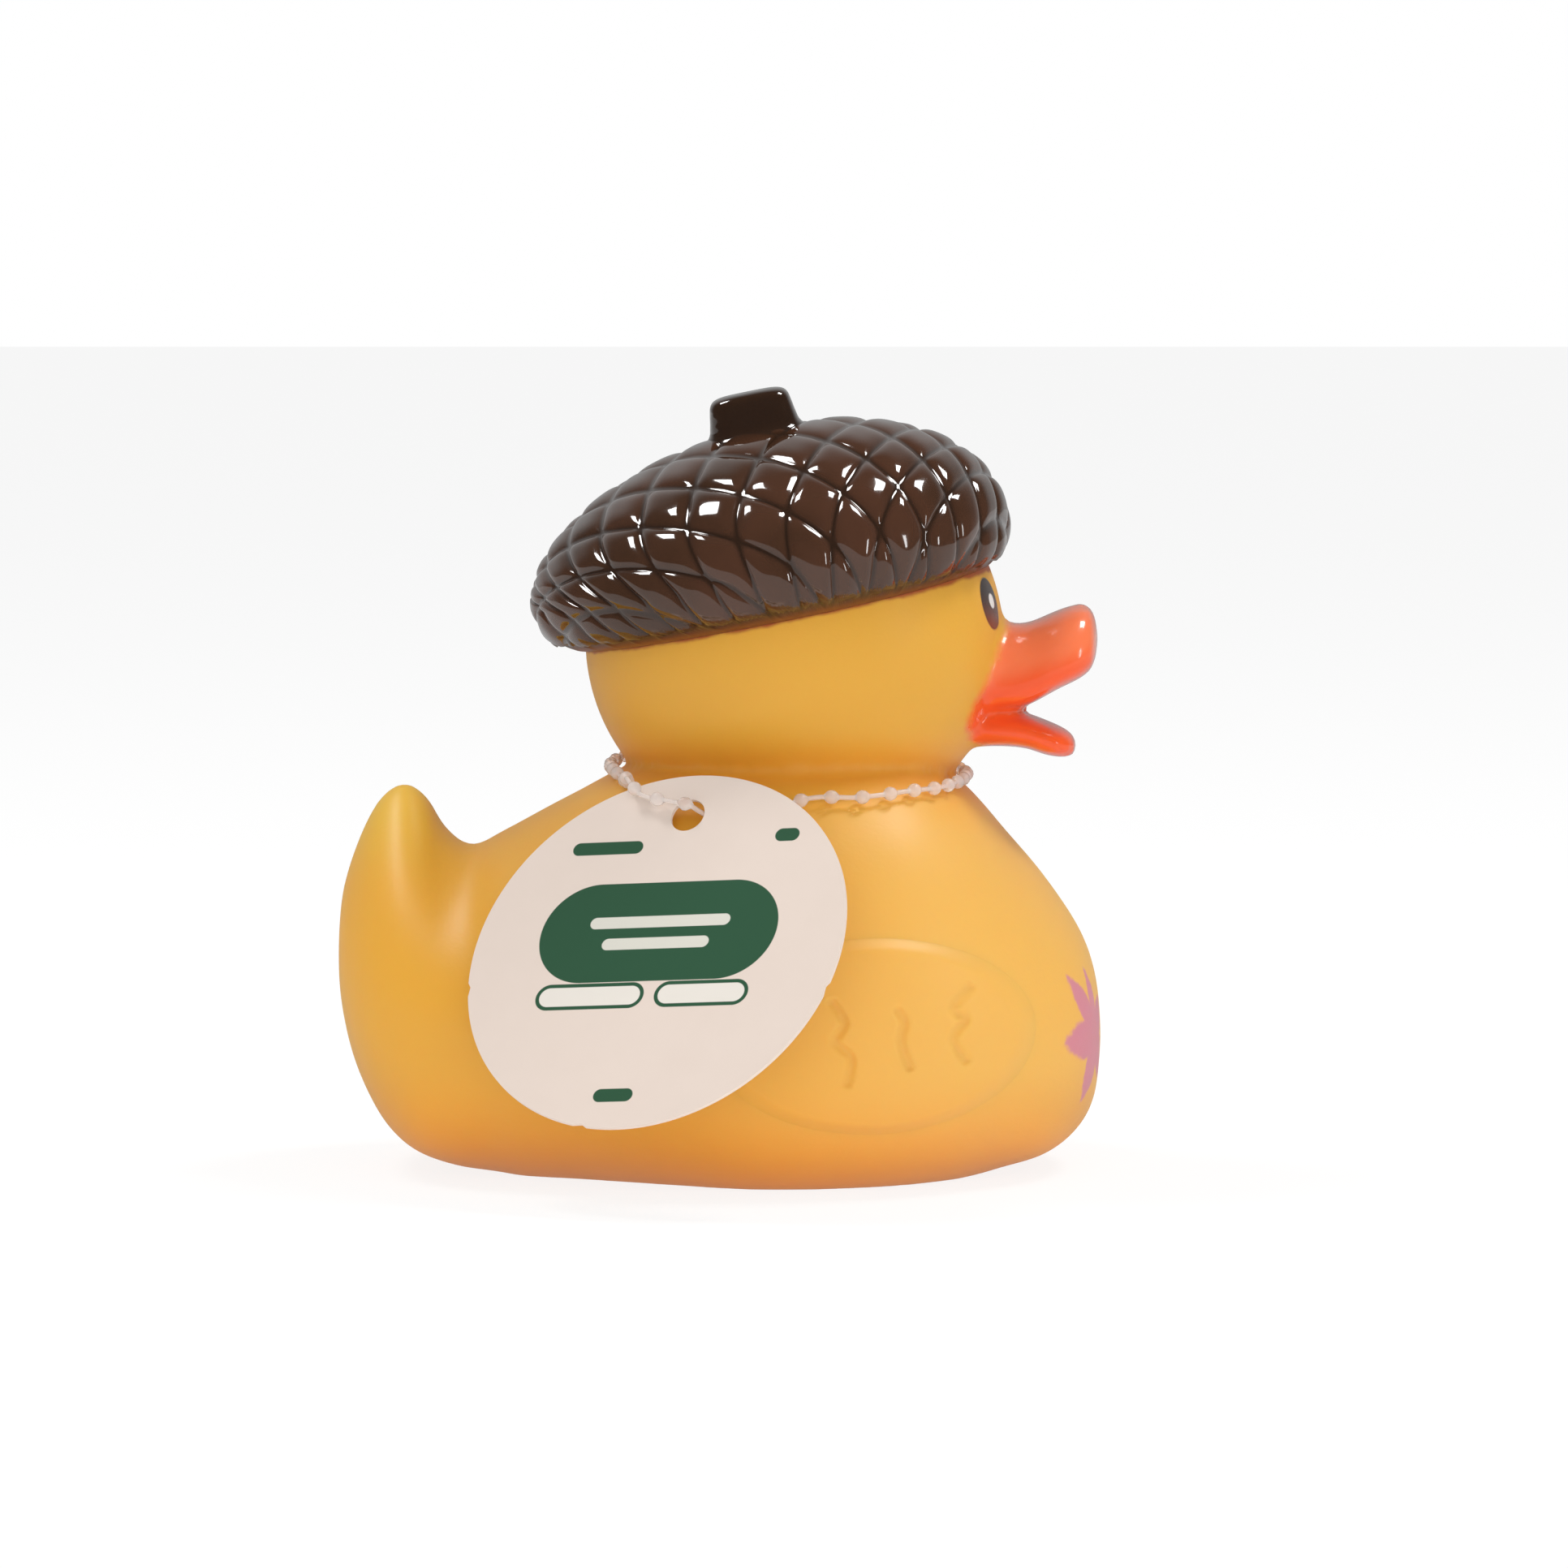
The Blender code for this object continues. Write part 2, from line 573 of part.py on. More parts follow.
def loop_route():
    """Points of the loop: through the tag's hole, round the neck and over the tag's rim."""
    frame = tag_frame()
    hole = Vector((0, TAG_DIAMETER / 2 - TAG_HOLE_EDGE, 0))
    rim = Vector((0, TAG_DIAMETER / 2, 0))
    route = [frame @ (Vector(beads) * LOOP_BEAD + hole) for beads in LOOP_BEHIND]
    lift = LOOP_BEAD / 2 + FIT
    step = LOOP_BEAD / 4
    for x, y in LOOP_PLAN:
        x, y = HEAD_X + x * HEAD_LENGTH, y * HEAD_WIDTH
        slope_x = (shoulder(x + step, y) - shoulder(x - step, y)) / (2 * step)
        slope_y = (shoulder(x, y + step) - shoulder(x, y - step)) / (2 * step)
        steep = min(2.0, sqrt(1 + slope_x ** 2 + slope_y ** 2))
        route.append(Vector((x, y, shoulder(x, y) + lift * steep)))
    route.append(frame @ (Vector(LOOP_OVER_RIM) * LOOP_BEAD + rim))
    route += [frame @ (Vector(beads) * LOOP_BEAD + hole) for beads in LOOP_BEFORE]
    return route


def closed_curve(points, count):
    """Evenly spaced points on the smooth closed curve through the given ones."""
    fine = []
    size = len(points)
    for i in range(size):
        rows = [points[(i + k) % size] for k in (-1, 0, 1, 2)]
        for k in range(16):
            f = k / 16
            p, q, r, s = rows
            fine.append(0.5 * (
                2 * q + (r - p) * f + (2 * p - 5 * q + 4 * r - s) * f * f
                + (3 * q - p - 3 * r + s) * f ** 3))
    fine.append(fine[0])
    runs = [0.0]
    for a, b in zip(fine, fine[1:]):
        runs.append(runs[-1] + (b - a).length)
    even, k = [], 0
    for i in range(count):
        want = runs[-1] * i / count
        while runs[k + 1] < want:
            k += 1
        share = (want - runs[k]) / (runs[k + 1] - runs[k])
        even.append(fine[k].lerp(fine[k + 1], share))
    return even, runs[-1]


def tag_loop(mat):
    """A closed plastic strand with small beads along it."""
    route = loop_route()
    beads = round(closed_curve(route, 8)[1] / LOOP_PITCH)
    rings = beads * RINGS_PER_BEAD
    even, length = closed_curve(route, rings)
    pitch = length / beads
    frames = []
    for i, here in enumerate(even):
        ahead = (even[(i + 1) % rings] - even[i - 1]).normalized()
        out = ahead.cross(Vector((0, 0, 1))).normalized()
        frames.append((here, out, out.cross(ahead)))

    def place(u, v):
        i = round(v * rings) % rings
        here, out, over = frames[i]
        away = abs(i % RINGS_PER_BEAD - RINGS_PER_BEAD / 2) / RINGS_PER_BEAD * pitch
        swell = sqrt(max(0.0, 1 - (away / (LOOP_BEAD * 0.53)) ** 2))
        radius = (LOOP_STRAND + (LOOP_BEAD - LOOP_STRAND) * swell) / 2
        return here + (out * cos(2 * pi * u) + over * sin(2 * pi * u)) * radius

    return finish(wrap_grid(LOOP_SIDES, rings, place), "tag_loop", mat)


def duck_body():
    vinyl = material("yellow_vinyl", (0.78, 0.45, 0.09), 0.45)
    body = body_hull(vinyl)
    cavity = hollow_body(vinyl)
    combine(cavity, hollow_head(vinyl), "UNION")
    combine(cavity, hollow_cap(vinyl), "UNION")
    for piece in (
        head(vinyl), cap_skin(vinyl), stem(vinyl), upper_bill(vinyl), lower_bill(vinyl),
        wing("wing_right", vinyl, -1), wing("wing_left", vinyl, 1),
    ):
        combine(body, piece, "UNION")
    combine(body, cavity, "DIFFERENCE")
    combine(body, squeaker_cut(vinyl), "DIFFERENCE")
    return body


clear_scene()
duck_body()
squeaker_plug(material("white_plastic", (0.85, 0.85, 0.82), 0.35))
squeaker_reed(material("reed_metal", (0.75, 0.68, 0.5), 0.3, 1.0))
hang_tag(material("cream_card", (0.79, 0.7, 0.62), 0.5))
tag_loop(material("clear_plastic", (0.9, 0.88, 0.85), 0.3))
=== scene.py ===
# %% [markdown]
# # A rubber duck in an acorn cap
#
# The duck is a hollow vinyl toy with an acorn's cap on its head and a card tag on a beaded loop.
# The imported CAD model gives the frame: where each piece is and how big it is. This lesson gives
# the same pieces their looks. Lengths are in metres, +X is forwards, +Y is the duck's left and
# +Z is up.
#
# The forms could be sculpted by hand or carved from one block. Here they are flat grids wrapped
# round rows of numbers, because each form can then be set beside the photo and moved by a tenth
# of a millimetre.

from math import atan2, ceil, cos, pi, radians, sin, sqrt

import bmesh
import bpy
from mathutils import Matrix, Vector


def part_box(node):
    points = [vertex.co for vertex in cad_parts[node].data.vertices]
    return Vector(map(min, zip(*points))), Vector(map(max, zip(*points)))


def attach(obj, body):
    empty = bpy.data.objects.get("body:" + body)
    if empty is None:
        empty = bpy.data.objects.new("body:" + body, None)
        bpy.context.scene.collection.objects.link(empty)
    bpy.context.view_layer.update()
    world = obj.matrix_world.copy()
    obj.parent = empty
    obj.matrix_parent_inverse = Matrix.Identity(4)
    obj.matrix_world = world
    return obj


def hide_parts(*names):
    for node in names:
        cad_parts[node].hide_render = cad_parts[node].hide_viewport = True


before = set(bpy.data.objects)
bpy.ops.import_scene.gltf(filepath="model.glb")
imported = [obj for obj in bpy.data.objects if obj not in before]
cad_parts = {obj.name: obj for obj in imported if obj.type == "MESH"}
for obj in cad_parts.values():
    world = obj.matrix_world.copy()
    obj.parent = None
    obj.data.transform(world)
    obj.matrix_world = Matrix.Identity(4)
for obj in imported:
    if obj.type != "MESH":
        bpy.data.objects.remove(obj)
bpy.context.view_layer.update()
MM = 0.001
print("nodes:", sorted(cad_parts))

# %% [markdown]
# ## Sizes that several steps share
#
# The neck's shading, the skin and the loop all need the head's place. The paint and the cap both
# need the plane of the cap's rim. They are the CAD's own numbers, written once.

# %% Shared sizes
HEAD_X, HEAD_HEIGHT = 7.9 * MM, 65.0 * MM
HEAD_SIZE = (51.5 * MM, 49.6 * MM, 49.6 * MM)
BILL_ROOT = 28.5 * MM
CAP_TILT, CAP_X, CAP_RIM_HEIGHT = radians(11.5), 7.5 * MM, 68.9 * MM
WELD, HAIR = 0.005 * MM, 0.001 * MM
print("head", [round(size / MM, 1) for size in HEAD_SIZE], "mm")

# %% [markdown]
# ## Small tools for shapes
#
# Most skins here are a flat grid that is wrapped round a form and welded where it meets itself.
# `finish` turns the working mesh into an object that rides on the CAD's one body. Modifiers could
# do some of this, but the operators show each step and give the same mesh each run.

# %% Shape tools
def finish(bm, name, slot, *materials):
    """Make the object, smooth it and let it ride on the body."""
    bmesh.ops.recalc_face_normals(bm, faces=bm.faces)
    mesh = bpy.data.meshes.new(name)
    bm.to_mesh(mesh)
    bm.free()
    mesh.shade_smooth()
    obj = bpy.data.objects.new(name, mesh)
    bpy.context.scene.collection.objects.link(obj)
    for mat in materials:
        mesh.materials.append(mat)
    if slot:
        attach(obj, "root")
    print(name, len(mesh.polygons), "faces")
    return obj


def wrap_grid(around, along, place):
    """A flat grid wrapped into a closed skin and welded at its seam and poles."""
    bm = bmesh.new()
    bmesh.ops.create_grid(bm, x_segments=around, y_segments=along, size=0.5)
    for vert in bm.verts:
        vert.co = place(vert.co.x + 0.5, vert.co.y + 0.5)
    bmesh.ops.remove_doubles(bm, verts=bm.verts, dist=WELD)
    holes = [edge for edge in bm.edges if edge.is_boundary]
    if holes:
        bmesh.ops.holes_fill(bm, edges=holes)
    return bm


def only(kind, geom):
    """The verts, edges or faces among what an operator gave back."""
    return [part for part in geom if isinstance(part, kind)]


def signed_power(value, power):
    """A power that keeps the sign, for rounded boxes and full ovals."""
    return abs(value) ** power * (1 if value >= 0 else -1)


def smooth_step(edge, full, value):
    """0 before edge, 1 after full, and a smooth rise between them."""
    share = min(1.0, max(0.0, (value - edge) / (full - edge)))
    return share * share * (3 - 2 * share)


def curve_at(p, q, r, s, f):
    """Catmull-Rom: a smooth curve from q to r, steered by its neighbours p and s."""
    bend, twist = 2 * p - 5 * q + 4 * r - s, 3 * q - p - 3 * r + s
    return 0.5 * (2 * q + (r - p) * f + bend * f * f + twist * f ** 3)


def smooth_row(rows, t):
    """Values at t, from 0 to 1, on the smooth curves through a list of rows."""
    place = t * (len(rows) - 1)
    i = min(int(place), len(rows) - 2)
    near = (rows[max(0, min(len(rows) - 1, k))] for k in (i - 1, i, i + 1, i + 2))
    return [curve_at(*values, place - i) for values in zip(*near)]


def smooth_path(points, steps, closed=False):
    """Many points on the smooth curve through a few."""
    size = len(points)
    spans = size if closed else size - 1
    def at(k):
        return points[k % size] if closed else points[max(0, min(size - 1, k))]
    path = [
        curve_at(at(i - 1), at(i), at(i + 1), at(i + 2), step / steps)
        for i in range(spans) for step in range(steps)]
    return path if closed else path + [points[-1]]


# %% [markdown]
# ## Small tools for materials
#
# On the real toy the colours are sprayed through masks. Each effect here is a node group that
# gives such a mask, from 0 to 1, worked out from the object's own coordinates. A painted picture
# would do as well, but a worked-out mask stays sharp at any size and needs no file.

# %% Material tools
def socket_name(word):
    """half_tall is written Half Tall on a socket."""
    return word.replace("_", " ").title().replace("Ior", "IOR")


def mask_group(name, inputs):
    """A node group that gives one mask. Inputs are name: default, with None for a vector."""
    tree = bpy.data.node_groups.new(name, "ShaderNodeTree")
    for label, value in inputs.items():
        kind = "NodeSocketVector" if value is None else "NodeSocketFloat"
        socket = tree.interface.new_socket(label, in_out="INPUT", socket_type=kind)
        if value is not None:
            socket.default_value = value
    tree.interface.new_socket("Mask", in_out="OUTPUT", socket_type="NodeSocketFloat")
    given, result = tree.nodes.new("NodeGroupInput"), tree.nodes.new("NodeGroupOutput")
    return tree, given.outputs, result.inputs["Mask"]


def feed(tree, socket, value):
    """Link another node's output to a socket, or set its value."""
    if isinstance(value, bpy.types.NodeSocket):
        tree.links.new(value, socket)
    else:
        socket.default_value = value


def calc(tree, operation, *values):
    """One math node."""
    node = tree.nodes.new("ShaderNodeMath")
    node.operation = operation
    for socket, value in zip(node.inputs, values):
        feed(tree, socket, value)
    return node.outputs[0]


def plus(tree, a, b):
    return calc(tree, "ADD", a, b)


def minus(tree, a, b):
    return calc(tree, "SUBTRACT", a, b)


def times(tree, a, b):
    return calc(tree, "MULTIPLY", a, b)


def divided(tree, a, b):
    return calc(tree, "DIVIDE", a, b)


def length_of(tree, *parts):
    """Length of the line that has these parts."""
    total = times(tree, parts[0], parts[0])
    for part in parts[1:]:
        total = plus(tree, total, times(tree, part, part))
    return calc(tree, "SQRT", total)


def remap(tree, value, low, high, to_low=0.0, to_high=1.0, smooth=True):
    """Value between low and high, made a share between two others."""
    node = tree.nodes.new("ShaderNodeMapRange")
    node.interpolation_type = "SMOOTHSTEP" if smooth else "LINEAR"
    labels = ("Value", "From Min", "From Max", "To Min", "To Max")
    for label, part in zip(labels, (value, low, high, to_low, to_high)):
        feed(tree, node.inputs[label], part)
    return node.outputs["Result"]


def profile(tree, value, points, least, most):
    """A line through (place, level) points, looked up at a value. Least and most bound the levels."""
    node = tree.nodes.new("ShaderNodeValToRGB")
    scale = node.color_ramp
    first, last = points[0][0], points[-1][0]
    places = [(place - first) / (last - first) for place, _ in points]
    for place in places[1:-1]:
        scale.elements.new(place)
    for element, place, (_, level) in zip(scale.elements, places, points):
        grey = (level - least) / (most - least)
        element.position = place
        element.color = (grey, grey, grey, 1)
    feed(tree, node.inputs["Fac"], remap(tree, value, first, last, smooth=False))
    return remap(tree, node.outputs["Color"], 0.0, 1.0, least, most, smooth=False)


def noise_value(tree, vector, scale, detail=2.0):
    node = tree.nodes.new("ShaderNodeTexNoise")
    node.inputs["Scale"].default_value = scale
    node.inputs["Detail"].default_value = detail
    feed(tree, node.inputs["Vector"], vector)
    return node.outputs["Fac"]


def noise_between(tree, vector, scale, low, high):
    """Noise from low to high, for ragged edges and uneven gloss."""
    return remap(tree, noise_value(tree, vector, scale), 0.3, 0.7, low, high, smooth=False)


def paint(tree, under, over, mask):
    """One colour over another where the mask is 1."""
    node = tree.nodes.new("ShaderNodeMix")
    node.data_type = "RGBA"
    feed(tree, node.inputs["Factor"], mask)
    feed(tree, node.inputs["A"], under)
    feed(tree, node.inputs["B"], over)
    return node.outputs["Result"]


def split(tree, vector):
    node = tree.nodes.new("ShaderNodeSeparateXYZ")
    feed(tree, node.inputs[0], vector)
    return node.outputs


def use_group(tree, group, **values):
    """A group's mask, with its inputs given by name."""
    node = tree.nodes.new("ShaderNodeGroup")
    node.node_tree = group
    for label, value in values.items():
        feed(tree, node.inputs[socket_name(label)], value)
    return node.outputs["Mask"]


def new_material(name, colour, roughness, **constants):
    """A Principled material with its constant settings."""
    mat = bpy.data.materials.new(name)
    mat.use_nodes = True
    shader = mat.node_tree.nodes["Principled BSDF"]
    shader.inputs["Base Color"].default_value = (*colour, 1)
    shader.inputs["Roughness"].default_value = roughness
    for label, value in constants.items():
        shader.inputs[socket_name(label)].default_value = value
    return mat, mat.node_tree, shader


def object_place(tree):
    return tree.nodes.new("ShaderNodeTexCoord").outputs["Object"]


# %% Group: a round or oval spot
def spot_group():
    tree, given, mask = mask_group("spot", {
        "Across": 0.0, "Up": 0.0, "Centre Across": 0.0, "Centre Up": 0.0,
        "Half Wide": 3 * MM, "Half Tall": 3 * MM, "Softness": 0.1})
    across = divided(tree, minus(tree, given["Across"], given["Centre Across"]), given["Half Wide"])
    up = divided(tree, minus(tree, given["Up"], given["Centre Up"]), given["Half Tall"])
    near = minus(tree, 1.0, length_of(tree, across, up))
    soft = given["Softness"]
    tree.links.new(remap(tree, near, times(tree, soft, -1.0), soft), mask)
    return tree


# %% Group: a printed bar with round ends
PRINT_EDGE = 0.06 * MM


def bar_group():
    tree, given, mask = mask_group("bar", {
        "Across": 0.0, "Up": 0.0, "Left": 0.0, "Right": 0.0, "Middle": 0.0, "Half Tall": MM})
    half = given["Half Tall"]
    low, high = plus(tree, given["Left"], half), minus(tree, given["Right"], half)
    nearest = calc(tree, "MINIMUM", calc(tree, "MAXIMUM", given["Across"], low), high)
    across, up = minus(tree, given["Across"], nearest), minus(tree, given["Up"], given["Middle"])
    inside = minus(tree, half, length_of(tree, across, up))
    tree.links.new(remap(tree, inside, -PRINT_EDGE, PRINT_EDGE), mask)
    return tree


SPOT, BAR = spot_group(), bar_group()
print("groups:", SPOT.name, BAR.name)


# %% [markdown]
# ## Vinyl, with its sprayed paint
#
# The duck is yellow vinyl that lets a little light in. Its bill is sprayed orange, and a pink
# leaf is sprayed on its breast. The bill could be a piece of its own with its own colour, but on
# the toy the paint ends on the face in a soft, slightly ragged line, so it is a mask on one skin.
# The bill's edge is a curve: for each height, how far forward the orange starts. The leaf is a
# star in polar form: for each direction, how far it reaches.

# %% Group: where the orange of the bill starts
BILL_EDGE = [
    (50.0, 33.0), (52.0, 32.0), (52.6, 30.2), (53.2, 29.2), (54.9, 28.8), (57.6, 29.6), (60.7, 31.4),
    (64.9, 33.0), (66.8, 33.8), (68.0, 34.3), (70.0, 34.6)]


def bill_paint_group():
    """Each point of the edge is a height and the place where the orange starts, in mm."""
    tree, given, mask = mask_group("bill_paint", {"Vector": None})
    x, _, z = split(tree, given["Vector"])
    edge = [(high * MM, forward * MM) for high, forward in BILL_EDGE]
    start = profile(tree, z, edge, 25 * MM, 40 * MM)
    ragged = noise_between(tree, given["Vector"], 700.0, -0.2 * MM, 0.2 * MM)
    past = minus(tree, x, plus(tree, start, ragged))
    above_chin = remap(tree, z, 49 * MM, 50 * MM)
    tree.links.new(times(tree, remap(tree, past, -0.7 * MM, MM), above_chin), mask)
    return tree


# %% Group: the leaf on the breast
LEAF_TIPS = [
    (-2, 7.4), (30, 3.9), (56, 8.4), (78, 3.9), (93, 7.6), (117, 3.4), (147, 6.7), (185, 4.1),
    (222, 8.1), (250, 3.7), (286, 7.6), (318, 3.5), (358, 7.4)]
LEAF_SIDE, LEAF_HEIGHT, LEAF_REACH = 11.4 * MM, 17.4 * MM, 10 * MM
LEAF_WIDER, LEAF_TALLER = 1.17, 1.12


def leaf_group():
    """Each tip or notch is a direction in degrees and a reach in mm."""
    tree, given, mask = mask_group("leaf", {"Vector": None})
    x, y, z = split(tree, given["Vector"])
    across = divided(tree, minus(tree, times(tree, y, -1.0), LEAF_SIDE), LEAF_WIDER)
    up = divided(tree, minus(tree, z, LEAF_HEIGHT), LEAF_TALLER)
    tips = [(radians(angle), reach * MM) for angle, reach in LEAF_TIPS]
    turn = calc(tree, "WRAP", calc(tree, "ARCTAN2", up, across), tips[-1][0], tips[0][0])
    ragged = noise_between(tree, given["Vector"], 900.0, -0.3 * MM, 0.3 * MM)
    reach = plus(tree, profile(tree, turn, tips, 0.0, LEAF_REACH), ragged)
    inside = minus(tree, reach, length_of(tree, across, up))
    on_breast = remap(tree, x, 30 * MM, 32 * MM)
    tree.links.new(times(tree, remap(tree, inside, -0.4 * MM, 0.6 * MM), on_breast), mask)
    return tree


# %% Group: painted shade in the crease of the neck
NECK_FAR, NECK_NEAR, NECK_SHADE_STRENGTH = 1.28, 1.03, 0.5


def neck_shade_group():
    """Painted shade in the neck's crease: strongest close to the head's oval, and only below its middle.
    """
    tree, given, mask = mask_group("neck", {"Vector": None})
    here = split(tree, given["Vector"])
    parts = [
        divided(tree, minus(tree, value, middle), size / 2)
        for value, middle, size in zip(here, (HEAD_X, 0.0, HEAD_HEIGHT), HEAD_SIZE)]
    close = remap(tree, length_of(tree, *parts), NECK_FAR, NECK_NEAR)
    below = remap(tree, here["Z"], 56 * MM, 48 * MM)
    tree.links.new(times(tree, times(tree, close, below), NECK_SHADE_STRENGTH), mask)
    return tree


# %% The plane of the cap's rim
def above_rim(tree, x, z):
    """Height over the plane of the cap's rim."""
    up = times(tree, minus(tree, z, CAP_RIM_HEIGHT), cos(CAP_TILT))
    return minus(tree, up, times(tree, minus(tree, x, CAP_X), sin(CAP_TILT)))


# %% Vinyl colours, with painted light and shade
# Plain and warm are the vinyl's own mottle; head, tail, breast, base and neck are painted light and shade.
YELLOW_AND_PAINTED_LIGHT = {
    "plain": (0.81, 0.39, 0.032, 1), "warm": (0.85, 0.43, 0.042, 1), "head": (0.75, 0.385, 0.036, 1),
    "tail": (0.80, 0.47, 0.045, 1), "breast": (0.86, 0.48, 0.100, 1), "base": (0.80, 0.27, 0.02, 1),
    "neck": (0.74, 0.23, 0.012, 1)}
# The bill_painted_light orange is painted light: the bill's upper part is painted lighter where it faces
# the lamps.
PAINTS = {
    "leaf": (0.64, 0.21, 0.31, 1), "bill": (0.90, 0.100, 0.014, 1), "bill_painted_light": (0.97, 0.21, 0.080, 1),
    "iris": (0.17, 0.033, 0.008, 1), "pupil": (0.030, 0.016, 0.012, 1), "glint": (0.85, 0.83, 0.80, 1),
    "overspray": (0.42, 0.09, 0.015, 1)}


def yellow_and_painted_light(tree, here):
    """The yellow skin with painted light and shade: painted shade on the head, paler with painted light on
    the tail and breast, warmer with painted shade at the base and in the neck.
    """
    x, _, z = split(tree, here)
    base = paint(tree, YELLOW_AND_PAINTED_LIGHT["plain"], YELLOW_AND_PAINTED_LIGHT["warm"], noise_value(tree, here, 40.0))
    tail = times(tree, remap(tree, z, 34 * MM, 46 * MM), remap(tree, x, -30 * MM, -36 * MM))
    breast = times(tree, remap(tree, z, 52 * MM, 42 * MM), remap(tree, x, -10 * MM, 25 * MM))
    # Painted light and shade: a darker head, a lighter tail top, a pale sheen on the breast, orange shade
    # at the base.
    painted_light = {
        "head": remap(tree, z, 48 * MM, 56 * MM),
        "tail": tail,
        "breast": times(tree, breast, 0.8),
        "base": times(tree, remap(tree, z, 16 * MM, 0.0), 0.7),
        "neck": use_group(tree, neck_shade_group(), vector=here)}
    for name, mask in painted_light.items():
        base = paint(tree, base, YELLOW_AND_PAINTED_LIGHT[name], mask)
    return base


# %% Eyes
EYE = {"centre_across": 7.4 * MM, "centre_up": 69.9 * MM, "half_wide": 2.8 * MM, "half_tall": 3.2 * MM}
GLINT = {"centre_across": 6.9 * MM, "centre_up": 70.2 * MM, "half_wide": 0.9 * MM, "half_tall": 0.9 * MM}


def face_spots(tree, here, softness, spot):
    """A spot on each side of the face, and none on the back of the head."""
    x, y, z = split(tree, here)
    mask = use_group(tree, SPOT, across=calc(tree, "ABSOLUTE", y), up=z, softness=softness, **spot)
    front = times(tree, remap(tree, x, 27 * MM, 28 * MM), remap(tree, x, 34.5 * MM, 34 * MM))
    return times(tree, mask, front)


# %% Vinyl material
BILL_SLOPE = 0.3


def vinyl_paint(tree, here, bill, eye):
    """Yellow with its painted light and shade, and over it in turn the leaf, the bill with its painted
    lighter top, the eyes and the spray under the cap.
    """
    x, _, z = split(tree, here)
    # Painted light: the bill turns a lighter orange towards its top, where it faces the light.
    lift = minus(tree, z, times(tree, minus(tree, x, BILL_ROOT), BILL_SLOPE))
    orange = paint(tree, PAINTS["bill"], PAINTS["bill_painted_light"], remap(tree, lift, 57.5 * MM, 61 * MM))
    iris = paint(tree, PAINTS["iris"], PAINTS["pupil"], remap(tree, z, 67.2 * MM, 71.5 * MM))
    leaf = times(tree, use_group(tree, leaf_group(), vector=here), 0.9)
    ragged = noise_between(tree, here, 300.0, -0.2 * MM, 0.2 * MM)
    spray = remap(tree, plus(tree, above_rim(tree, x, z), ragged), -0.4 * MM, 0.2 * MM)
    base = yellow_and_painted_light(tree, here)
    for colour, mask in (
            (PAINTS["leaf"], leaf), (orange, bill), (iris, eye),
            (PAINTS["glint"], face_spots(tree, here, 0.15, GLINT)), (PAINTS["overspray"], spray)):
        base = paint(tree, base, colour, mask)
    return base


def vinyl_material():
    """Matt yellow, with a gloss on the bill and the eyes and a faint moulded grain."""
    mat, tree, shader = new_material(
        "yellow_vinyl", (0.8, 0.42, 0.08), 0.42, subsurface_weight=0.25, subsurface_scale=0.002,
        sheen_weight=0.05, sheen_roughness=0.5)
    shader.inputs["Subsurface Radius"].default_value = (1.0, 0.5, 0.15)
    here = object_place(tree)
    bill = use_group(tree, bill_paint_group(), vector=here)
    eye = face_spots(tree, here, 0.05, EYE)
    tree.links.new(vinyl_paint(tree, here, bill, eye), shader.inputs["Base Color"])
    rough = minus(tree, remap(tree, bill, 0.0, 1.0, 0.46, 0.22, smooth=False), times(tree, eye, 0.2))
    tree.links.new(rough, shader.inputs["Roughness"])
    coat = calc(tree, "MAXIMUM", times(tree, eye, 0.2), times(tree, bill, 0.8))
    tree.links.new(coat, shader.inputs["Coat Weight"])
    bump = tree.nodes.new("ShaderNodeBump")
    bump.inputs["Distance"].default_value = 0.2 * MM
    bump.inputs["Strength"].default_value = 0.1
    feed(tree, bump.inputs["Height"], noise_value(tree, here, 1500.0))
    tree.links.new(bump.outputs["Normal"], shader.inputs["Normal"])
    return mat


VINYL = vinyl_material()
print("vinyl:", len(VINYL.node_tree.nodes), "nodes")

# %% [markdown]
# ## The body
#
# The real body is the lower part of a rotational moulding: a full belly on a flat base, a dip
# behind the neck, and a tail that turns up. It could be made from blended balls, but those round
# off the dip and the tail's point. Here it is nineteen sections from tail to chest, each held
# between a top rail and a bottom rail, so that the outline in the photo is followed directly.

# %% Body form
SEARCH_STEPS = 22
BODY_REAR, BODY_LENGTH, BODY_WIDTH = -48.3 * MM, 94.0 * MM, 74.0 * MM
SHOULDER_HEIGHT, TAIL_HEIGHT, SADDLE_HEIGHT, BASE_SINK = 53.5 * MM, 47.3 * MM, 39.6 * MM, 1.5 * MM


